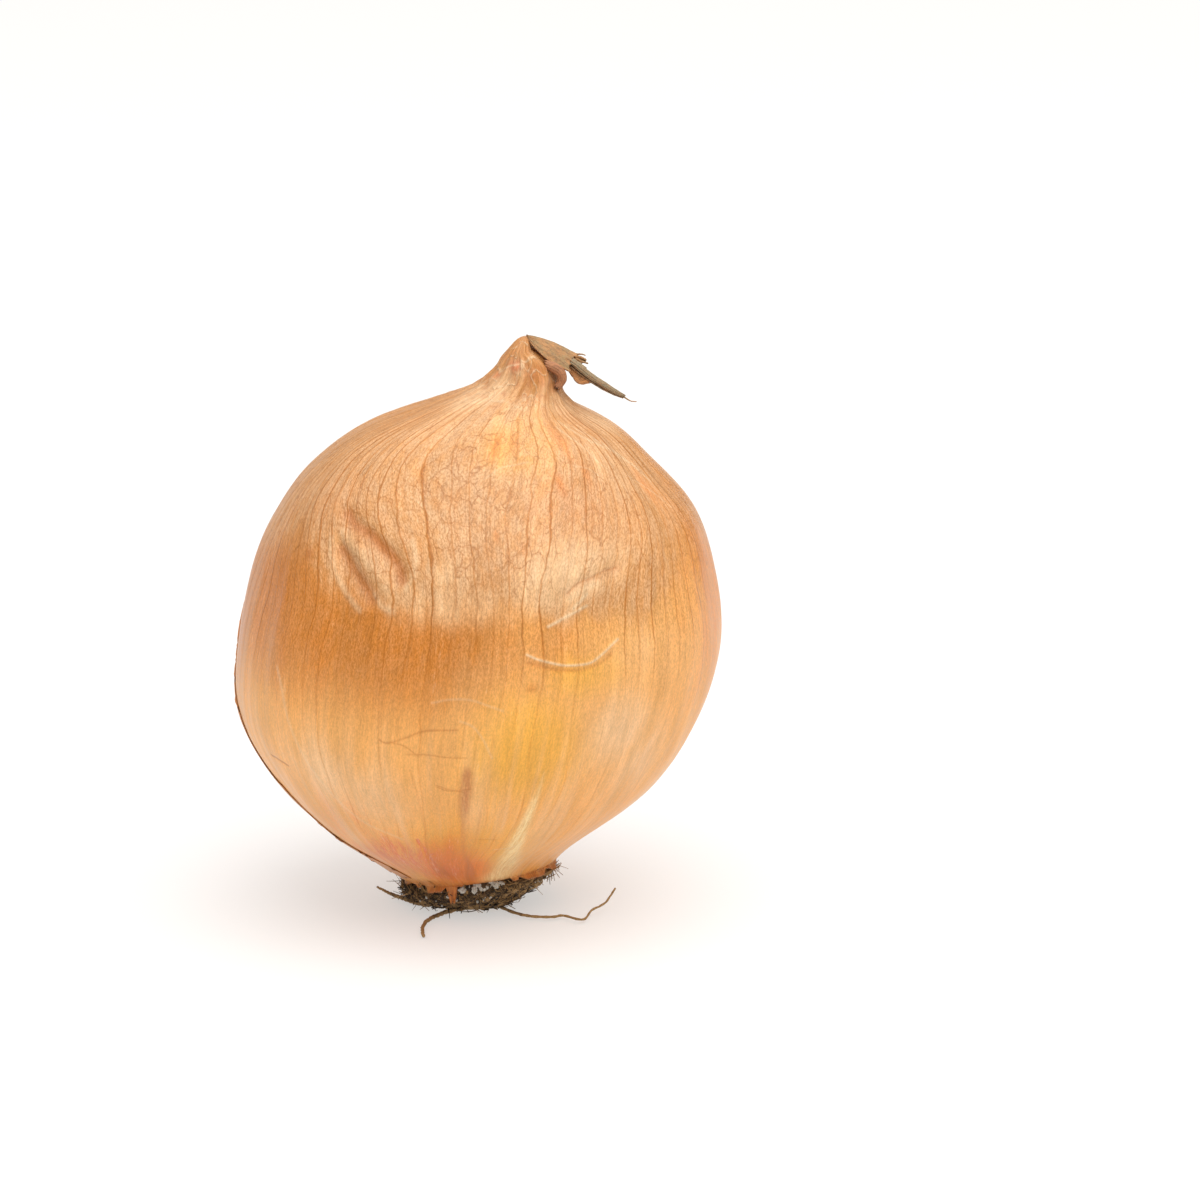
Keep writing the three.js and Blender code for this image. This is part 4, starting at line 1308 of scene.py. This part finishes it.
def build_roll(name, path, radii, columns, rows, thickness, ridge, masks, turned):
    """A sheet rolled up along a path, left open by a slit."""
    roll, t, w = new_grid(name, rows, columns)
    path = np.asarray(path, float)
    run = through(path)
    along = unit(run(np.clip(t + 0.02, 0, 1)) - run(np.clip(t - 0.02, 0, 1)))
    side = unit(np.cross(along, (0, 1, 0)))
    front = np.cross(along, side)
    angle = np.radians(turned + (w - 0.5) * (360 - ROLL_SLIT))
    radius = through(radii)(t)[:, 0]
    radius *= 1 + ridge * (np.cos(11 * angle + 3 * t) + 0.7 * wander(17 * angle + 2 * t) + wander(13 * t))
    radius *= 1 - 0.25 * w
    points = run(t) + (side * np.cos(angle)[:, None] + front * np.sin(angle)[:, None]) * radius[:, None]
    ragged = 0.35 * wander(7 * angle + 1)
    points += along * (ragged * (ease(0.85, 1, t) - ease(0.85, 1, 1 - t)))[:, None]
    move_vertices(roll, points)
    store_grain(roll, t * length_of(path), w * 2 * math.pi * float(np.mean(radii)))

    def from_path(point):
        return point - path[np.argmin(np.linalg.norm(path - point, axis=1))]

    return thicken(roll, thickness, masks, from_path)


class ONION_OT_withered_leaf(bpy.types.Operator):
    """Builds the withered leaf that folds over from the top of the neck"""

    bl_idname = "onion.withered_leaf"
    bl_label = "Withered Leaf"

    def execute(self, context):
        settings = context.scene.onion_leaf
        thickness = settings.thickness
        parts = [
            build_sheet("leaf_fold", FOLD_LINES, 64, 90, thickness, 0.07, 0.08, {}, rim=0.8),
            build_sheet("leaf_flap", FLAP_LINES, 14, 24, thickness, 0.05, 0.06, {"orange": 1.0}),
            # The torn inner layer is painted dark brown as the shade in the hollow of the fold.
            build_sheet("leaf_inner", INNER_LINES, 24, 24, thickness, 0.12, 0.35, {"inside": 0.8}),
            build_roll("leaf_shred", SHRED_PATH, SHRED_RADII, 44, 90, thickness, 0.08, {"grey": 1.0}, -35),
            *(build_long_root(f"leaf_straw_{i}", *straw, 0.04) for i, straw in enumerate(STRAWS)),
        ]
        material = leaf_material(settings)
        finish_piece(join(parts, "withered_leaf_skin"), "dry_leaf", material, "withered_leaf")
        curl = build_roll("neck_curl", CURL_PATH, CURL_RADII, 40, 50, thickness, 0.05, {"dusky": 1.0}, 90)
        finish_piece(curl, "dry_leaf", material)
        return {"FINISHED"}


def leaf_material(settings):
    """Dead leaf: tan and grey-green, with lengthwise streaks and specks, dark inside as painted shade."""
    material, tree, shader = new_material("Dry_Leaf")
    grain = source(tree, "ShaderNodeUVMap", uv_map="Grain").scaled(10, 10, 10)
    dry = use_group(tree, "Dry Fibre", {"Place": object_place(tree), "Size": 1.4})
    streaks = grain.scaled(0.35, 3.2, 1).noise(1.1, 3.0, 0.6)
    fine = grain.scaled(0.5, 6.0, 1).noise(1.6, 2.0, 0.6)
    grey = masked(tree, "grey")
    base = layered(
        settings.dry,
        (dry["Mottle"].remap(0.38, 0.62), settings.tan),
        (grey, settings.grey),
        (masked(tree, "orange"), settings.orange),
        (masked(tree, "dusky"), settings.dusky),
        (streaks.remap(0.5, 0.68) * 0.75, settings.brown),
        (fine.remap(0.48, 0.6) * grey * 0.75, settings.brown),
        # Painted shade: dark brown on the inner sides and on the torn inner layer.
        (masked(tree, "inside") * 0.85, settings.brown),
    )
    tone = dry["Speck"].spread(0.85, 1.15) * fine.spread(0.75, 1.25)
    dress(shader, {"Base Color": toned(base, tone), "Roughness": dry["Speck"].spread(0.6, 0.8)},
          fine + dry["Height"] * 0.5, 0.8, 0.12)
    return material


# ---- Root mat ----------------------------------------------------------------------------------------------

# Radius and height of the mat's lumpy core, from its underside round the rim to the top.
PLATE_PROFILE = ((2.0, 0.05), (6.6, 0.1), (9.4, 1.3), (11.6, 3.0), (12.2, 4.3), (11.7, 5.2), (6.0, 5.2))

# Whole dry roots: middle line, radius and radius at the tip.
LONG_ROOTS = (
    (((2.5, -3.2, 1.8), (5, -6.6, 0.9), (8.2, -9.9, 0.7), (10.5, -11.2, 0.7),
      (13.7, -11.5, 0.7), (15.6, -10.8, 0.7), (18.6, -13.2, 0.8), (20.1, -10, 1.3),
      (22.4, -8.3, 2.2), (24, -7, 4.2)), 0.30, 0.16),
    (((-0.6, -4, 1.9), (-2.1, -8.2, 1.1), (-4.2, -9.8, 0.8), (-6, -11.9, 0.65),
      (-7, -14.3, 0.6), (-7.3, -17.5, 0.55), (-7, -20.8, 0.5)), 0.42, 0.28),
    (((-4, -4.5, 1.9), (-6.4, -6.2, 1.2), (-8.8, -4.8, 1), (-10.9, -2.4, 0.9), (-12.9, -0.5, 1),
      (-14.2, 0.6, 1.3), (-15.4, 1, 1.8)), 0.6, 0.18),
    (((4, 4.5, 1.9), (6.5, 8, 0.9), (8, 12.5, 0.6), (12, 16, 0.6), (13, 20, 0.9)), 0.3, 0.2),
    (((-4, 5, 1.9), (-6.5, 8.5, 0.9), (-11, 11.5, 0.6), (-13, 16, 0.7)), 0.34, 0.2),
)

PLATE_SIDES = 96
ROOTLET_KINDS = 6
ROOTLET_SIDES = 4
ROOTLET_RADIUS = 0.12
ROOTLET_STEPS = 5
ROOTLET_TAPER = 0.82
ROOTLET_LENGTHS = (1.2, 4.2)
ROOTLET_WIDTHS = (0.6, 1.35)
SCRAPS = 160
SCRAP_LENGTHS = (0.8, 2.0)
SCRAP_WIDTHS = (1.2, 2.4)
SCRAP_HEIGHTS = (0.2, 0.6)
GRAIN_SIZES = (0.4, 1.3)
CRUMB_SIZES = (1.2, 2.8)
ABOVE_FLOOR = 0.02
ROOT_SEED = 7


def plate_lean(x, angle, radius, height):
    """How far the plate leans out to the right at a height, and how far its rim rises."""
    return x + FOOT_SHIFT * ease(0, FOOT_Z, height), rim_tilt(angle) * ease(7, FOOT_RADIUS, radius)


def build_mat_core():
    """The lumpy plate of matted old roots that the rootlets stand on."""
    radius, height = PLATE_PROFILE[0]
    core = new_ring("mat_core", PLATE_SIDES, radius, (0, 0, height))
    with edit_mode(core):
        for (before, low), (after, high) in zip(PLATE_PROFILE, PLATE_PROFILE[1:]):
            raise_ring((0, 0, high - low), (after / before,) * 2, (0, 0, high))
    close_up(core)
    subdivide(core, 2)
    points = vertices_of(core)
    x, y, z = points.T
    rough = 1 + 0.05 * ripples(points, 2.2, 31) * ease(0.2, 1.5, z)
    x, rise = plate_lean(x * rough, np.arctan2(y, x), np.hypot(x, y), z)
    bumps = 0.25 * ripples(points, 1.2, 33) * ease(0.3, 1.5, z)
    move_vertices(core, np.stack([x, y * rough, np.maximum(z + rise + bumps, 0.0)], axis=1))
    smooth(core)
    return core


def build_rootlet(name, bend, kink):
    """One broken rootlet along +Z, about a millimetre long for each unit, bent as it goes up."""
    rootlet = new_ring(name, ROOTLET_SIDES, ROOTLET_RADIUS, (0, 0, 0))
    with edit_mode(rootlet):
        for i in range(ROOTLET_STEPS):
            aim = Vector((math.sin(bend * i) + kink * (-1) ** i, kink * math.cos(2 * i), 1)).normalized()
            raise_ring(aim / ROOTLET_STEPS, (ROOTLET_TAPER, ROOTLET_TAPER))
    close_up(rootlet)
    return rootlet


def mat_place(angle, spread):
    """A point on the plate's underside and rim, and the direction outwards there; spread 0 is the foot."""
    run = through(PLATE_PROFILE[1:6])
    radius, height = run(spread)[0]
    ahead = (run(min(spread + 0.02, 1)) - run(max(spread - 0.02, 0)))[0]
    normal = Vector((ahead[1] * math.cos(angle), ahead[1] * math.sin(angle), -ahead[0])).normalized()
    x, rise = plate_lean(radius * math.cos(angle), angle, radius, height)
    return Vector((x, radius * math.sin(angle), height + rise)), normal


def scatter(shape, places):
    """Copies of a shape, each with its own mesh, at (place, direction, scale)."""
    copies = []
    for i, (place, aim, scale) in enumerate(places):
        copy = shape.copy()
        copy.data = shape.data.copy()
        copy.name = f"{shape.name}_{i}"
        turn = np.asarray(aim.to_track_quat("Z", "X").to_matrix())
        points = (vertices_of(copy) * np.asarray(scale)) @ turn.T + np.asarray(place)
        points[:, 2] = np.maximum(points[:, 2], ABOVE_FLOOR)
        move_vertices(copy, points)
        bpy.context.scene.collection.objects.link(copy)
        copies.append(copy)
    bpy.data.objects.remove(shape)
    return copies


def build_long_root(name, path, radius, tip, wobble):
    """A whole dry root: a bevelled curve turned into a mesh."""
    clear_selection()
    bpy.ops.curve.primitive_nurbs_path_add()
    line = started(name).data
    line.splines.clear()
    spline = line.splines.new("POLY")
    t = np.linspace(0, 1, 60)
    wobbles = np.stack([wander(40 * t + len(name)), wander(37 * t + 3), 0.3 * wander(51 * t)], axis=1)
    points = through(path)(t) + wobble * wobbles
    spline.points.add(len(t) - 1)
    for i, point in enumerate(points):
        spline.points[i].co = (*(point * MM), 1)
        spline.points[i].radius = blend(radius, tip, t[i] ** 0.7) * (1 + 0.12 * math.sin(i * 1.9)) * MM
    line.dimensions = "3D"
    line.bevel_depth = 1
    line.bevel_resolution = 1
    line.use_fill_caps = True
    bpy.ops.object.convert(target="MESH")
    return bpy.context.object


def any_way(draw, *spreads):
    """A random direction; the spreads are how far it strays along X, Y and Z."""
    return Vector([draw.gauss(0, spread) for spread in spreads])


def rootlet_places(draw, count):
    """Where rootlets stand: they stray over the plate and don't stick far out of it."""
    for _ in range(count):
        angle = draw.uniform(0, 2 * math.pi)
        spread = draw.random() ** 0.6
        point, normal = mat_place(angle, spread)
        out = Vector((math.cos(angle), math.sin(angle), 0))
        aim = (out * 0.3 + any_way(draw, 1, 1, 0.7) * 0.8).normalized()
        along = aim.dot(normal)
        aim -= normal * (along - 0.28 * max(along, 0))
        aim -= out * 0.8 * max(aim.dot(out), 0) * float(ease(0.7, 0.9, spread))
        aim.z = max(aim.z, -0.55) if point.z > 1.2 else abs(aim.z) * 0.3
        length = draw.uniform(*ROOTLET_LENGTHS) * (1 - 0.45 * float(ease(0.72, 0.95, spread)))
        thick = draw.uniform(*ROOTLET_WIDTHS)
        yield point + normal * 0.1 - aim * length * 0.3, aim, (thick, thick, length)


def scrap_places(draw):
    """Where thick scraps lie round the rim at the front."""
    for _ in range(SCRAPS):
        angle = math.radians(draw.gauss(275, 30))
        point, _ = mat_place(angle, draw.uniform(0.9, 1.0))
        around = Vector((-math.sin(angle), math.cos(angle), 0)) * draw.choice((-1, 1))
        aim = around + Vector((draw.gauss(0, 0.3), draw.gauss(0, 0.3), draw.gauss(0.1, 0.25)))
        lifted = point + Vector((0, 0, draw.uniform(*SCRAP_HEIGHTS)))
        yield lifted, aim, [draw.uniform(*SCRAP_WIDTHS)] * 2 + [draw.uniform(*SCRAP_LENGTHS)]


def grain_places(draw, count):
    """Where grains of soil lie, and every third one as a corky crumb at the front."""
    for i in range(count):
        corky = i % 3 == 0
        angle = math.radians(draw.gauss(272, 7)) if corky else draw.uniform(0, 2 * math.pi)
        point, normal = mat_place(angle, draw.uniform(0.8, 1.0) if corky else 0.25 + 0.75 * draw.random())
        aim = any_way(draw, 1, 1, 1)
        wide = draw.uniform(*(CRUMB_SIZES if corky else GRAIN_SIZES))
        scale = (wide, wide * draw.uniform(0.6, 1), wide * draw.uniform(0.5, 1))
        yield point + normal * (0.35 if corky else 0.2), aim, scale


class ONION_OT_root_mat(bpy.types.Operator):
    """Builds the root plate's mat of broken rootlets, whole dry roots and soil"""

    bl_idname = "onion.root_mat"
    bl_label = "Root Mat"

    def execute(self, context):
        settings = context.scene.onion_root
        draw = random.Random(ROOT_SEED)
        pieces = [build_mat_core()]
        for kind in range(ROOTLET_KINDS):
            rootlet = build_rootlet(f"rootlet_{kind}", 0.12 + 0.09 * kind, 0.12 * (kind % 3))
            pieces += scatter(rootlet, rootlet_places(draw, settings.rootlets // ROOTLET_KINDS))
        pieces += scatter(build_rootlet("scrap", 0.3, 0.2), scrap_places(draw))
        clear_selection()
        bpy.ops.mesh.primitive_ico_sphere_add(subdivisions=1, radius=0.3 * MM)
        grain = started("grain")
        store_mask(grain, "grain", np.ones(len(grain.data.vertices)))
        pieces += scatter(grain, grain_places(draw, settings.grains))
        pieces += [build_long_root(f"long_root_{i}", *root, 0.09) for i, root in enumerate(LONG_ROOTS)]
        finish_piece(join(pieces, "root_mat"), "root_fibre", root_material(settings), "root_plate")
        return {"FINISHED"}


def root_material(settings):
    """Old roots: nearly black inside the mat, partly as painted shade, straw where they stand out, with grey
    soil.
    """
    material, tree, shader = new_material("Root_Fibre")
    place = object_place(tree)
    dry = use_group(tree, "Dry Fibre", {"Place": place, "Size": 1.1})
    own = source(tree, "ShaderNodeNewGeometry", "Random Per Island")
    flat = place.scaled(1, 1, 0)
    radius = flat.through_node("ShaderNodeVectorMath", {0: flat}, "Value", operation="LENGTH")
    # The dark base is partly painted shade within the mat.
    base = layered(
        settings.dark,
        (own.remap(0.2, 1.0), settings.straw),
        (dry["Mottle"].remap(0.5, 0.66) * 0.55, settings.dark),
        (own.remap(0.4, 0.46) * masked(tree, "grain"), settings.soil),
        (radius.remap(12.5, 15) * 0.75, settings.straw),
    )
    base = toned(base, dry["Speck"].spread(0.65, 1.3, "LINEAR"))
    dress(shader, {"Base Color": base, "Roughness": 0.85}, dry["Height"], 0.8, 0.15)
    return material


# ---- Torn hem ----------------------------------------------------------------------------------------------

# Flakes of the skin's torn lower edge: azimuth, half width in degrees, length below the skin's edge, skew.
FIRST_FLAKES = ((250.5, 4.8, 2.3, 1.0), (243, 6, 0.15, -2), (234, 6, 0.3, 1), (308, 9, 0.2, 3),
                (322, 9, 0.3, -3), (336, 8, 0.3, 2))
FLAKE_TOP = 7.6
FLAKE_TURN = 5.8
# The small loose flakes' ranges: the same four sizes, then how far a tip curls out.
LOOSE_FLAKE_RANGES = ((298, 262 + 360), (3, 9), (0.05, 0.2), (-4, 4), (0, 0.5))
HEM_SEED = 11


def build_flake(name, settings, middle, half_width, length, skew, curl=1.0):
    """One torn flake that lies on the skin and hangs over the root mat."""
    flake, u, v = new_grid(name, 8, 10)
    u = u * 2 - 1
    hang = np.clip((v - 0.5) * 2, 0, 1)
    azimuth = middle + u * half_width * (1 - 0.6 * hang**1.3) + skew * hang
    z = blend(FLAKE_TOP, FLAKE_TURN, np.clip(v * 2, 0, 1))
    angle = np.radians(azimuth)
    down = np.stack([-0.35 * np.cos(angle), -0.35 * np.sin(angle), np.full(len(v), -1.0)], axis=1)
    ragged = length * (1 + 0.25 * wander(5 * u + middle) + 0.12 * wander(17 * u + middle))
    lift = 0.22 * v - 0.08 + curl * hang**2
    foot = vein_foot(z, azimuth)
    extra, masks = skin_detail(z, np.mod(azimuth, 360), flow_point(foot, climb(z)), settings)
    points = skin_point(z, azimuth, 1, extra) + skin_normal(z, azimuth) * lift[:, None]
    points += down * (hang * ragged)[:, None]
    points[:, 2] = np.maximum(points[:, 2], 0.2)
    move_vertices(flake, points)
    torn = np.maximum(ease(0.55, 1, hang), 0.8 * ease(0.8, 1, np.abs(u)) * ease(0.4, 0.6, v)) * (length < 2)
    masks["bruise"] = np.maximum(masks["bruise"], torn)
    masks["girth"] = girth_of(z, azimuth)
    for mask, values in masks.items():
        store_mask(flake, mask, values)
    store_wrap(flake, foot, climb(z) - hang * length)
    return flake


class ONION_OT_torn_hem(bpy.types.Operator):
    """Builds the torn lower edge of the skin, in flakes that hang over the root mat"""

    bl_idname = "onion.torn_hem"
    bl_label = "Torn Hem"

    def execute(self, context):
        settings = context.scene.onion_hem
        skin = context.scene.onion_skin
        draw = random.Random(HEM_SEED)
        flakes = [build_flake(f"flake_{i}", skin, *flake) for i, flake in enumerate(FIRST_FLAKES)]
        for i in range(settings.flakes):
            sizes = [draw.uniform(*ends) for ends in LOOSE_FLAKE_RANGES]
            flakes.append(build_flake(f"loose_flake_{i}", skin, *sizes))
        hem = join(flakes, "torn_hem")
        add_modifier(hem, "SOLIDIFY", thickness=settings.thickness, offset=0)
        smooth(hem)
        finish_piece(hem, "onion_skin", bpy.data.materials["Onion_Skin"])
        return {"FINISHED"}


# ---- Stage -------------------------------------------------------------------------------------------------

CAMERA_PLACE = (0.02145, -0.85656, 0.28059)
CAMERA_PITCH = 75
SENSOR = 36
CLIP = (0.01, 50)
BOX_DIRECTION = (0.16, -0.2, 0.93)
BOX_DISTANCE = 1.1
BOX_SIZE = 1.25
GLOW_TONE = (1, 0.98, 0.955)
WHITE = (1, 1, 1)
CARD_TONE = (1.0, 0.6, 0.32)
# How far up the horizon's dimness gives way to the bright top.
DUSK = (0.36, 0.56)


class ONION_OT_stage(bpy.types.Operator):
    """Sets the floor, the studio light and the camera"""

    bl_idname = "onion.stage"
    bl_label = "Stage"

    def execute(self, context):
        settings = context.scene.onion_stage
        scene = context.scene
        clear_selection()
        bpy.ops.mesh.primitive_plane_add(size=settings.floor_size, location=(0, 0, 0))
        floor = started("studio_floor")
        material, _, shader = new_material("Floor")
        look = {"Base Color": settings.floor_tone, "Roughness": 0.9, "Specular IOR Level": 0.1,
                "Emission Color": GLOW_TONE, "Emission Strength": settings.floor_glow}
        for name, value in look.items():
            feed(shader.inputs[name], value)
        floor.data.materials.append(material)
        bpy.ops.object.camera_add(location=CAMERA_PLACE, rotation=(math.radians(CAMERA_PITCH), 0, 0))
        camera = context.object
        camera.name = "camera"
        camera.data.lens = settings.lens / MM
        camera.data.sensor_width = SENSOR
        camera.data.clip_start, camera.data.clip_end = CLIP
        scene.camera = camera
        direction = Vector(BOX_DIRECTION).normalized()
        bpy.ops.object.light_add(type="AREA", location=direction * BOX_DISTANCE)
        box = context.object
        box.name = "softbox"
        box.rotation_euler = direction.to_track_quat("Z", "Y").to_euler()
        box.data.shape = "SQUARE"
        box.data.size = BOX_SIZE
        box.data.energy = settings.box_power
        set_world(scene)
        scene.view_settings.view_transform = "Standard"
        return {"FINISHED"}


def set_world(scene):
    """A white studio: bright overhead, dim near the horizon, warm low on the right, white to the camera."""
    world = bpy.data.worlds.new("Studio")
    scene.world = world
    world.use_nodes = True
    tree = world.node_tree
    tree.nodes.clear()
    direction = source(tree, "ShaderNodeTexCoord", "Generated")
    right = direction.part(0)
    up = direction.part(2)
    card = tint(right.remap(0.1, 0.8) * up.remap(0.2, 0.5, 1, 0), WHITE, CARD_TONE)
    strength = up.remap(*DUSK, 0.22, 1.25)
    studio = card.through_node("ShaderNodeBackground", {"Color": card, "Strength": strength})
    seen = source(tree, "ShaderNodeBackground", inputs={"Color": WHITE, "Strength": 1.0})
    ray = source(tree, "ShaderNodeLightPath", "Is Camera Ray")
    mixed = ray.through_node("ShaderNodeMixShader", {0: ray, 1: studio, 2: seen})
    add_node(tree, "ShaderNodeOutputWorld", {0: mixed})


# ---- Add-on ------------------------------------------------------------------------------------------------

class ONION_PT_parts(bpy.types.Panel):
    """Lists the onion's pieces"""

    bl_idname = "ONION_PT_parts"
    bl_label = "Brown Onion"
    bl_space_type = "VIEW_3D"
    bl_region_type = "UI"
    bl_category = "Onion"

    def draw(self, context):
        for operator, group, _ in PARTS:
            column = self.layout.column(align=True)
            column.operator(operator.bl_idname)
            settings = getattr(context.scene, group)
            for name in settings.bl_rna.properties.keys():
                if name not in ("rna_type", "name"):
                    column.prop(settings, name)


PARTS = (
    (ONION_OT_stage, "onion_stage", OnionStageSettings),
    (ONION_OT_bulb, "onion_skin", OnionSkinSettings),
    (ONION_OT_loose_skin, "onion_loose", OnionLooseSettings),
    (ONION_OT_withered_leaf, "onion_leaf", OnionLeafSettings),
    (ONION_OT_root_mat, "onion_root", OnionRootSettings),
    (ONION_OT_torn_hem, "onion_hem", OnionHemSettings),
)


def register():
    for operator, group, settings in PARTS:
        bpy.utils.register_class(settings)
        bpy.utils.register_class(operator)
        setattr(bpy.types.Scene, group, PointerProperty(type=settings))
    bpy.utils.register_class(ONION_PT_parts)


def unregister():
    bpy.utils.unregister_class(ONION_PT_parts)
    for operator, group, settings in reversed(PARTS):
        delattr(bpy.types.Scene, group)
        bpy.utils.unregister_class(operator)
        bpy.utils.unregister_class(settings)


def main():
    register()
    for group in GROUPS:
        add_group(*group)
    bpy.ops.onion.stage()
    bpy.ops.onion.bulb()
    bpy.ops.onion.loose_skin()
    bpy.ops.onion.withered_leaf()
    bpy.ops.onion.root_mat()
    bpy.ops.onion.torn_hem()


if __name__ == "__main__":
    main()
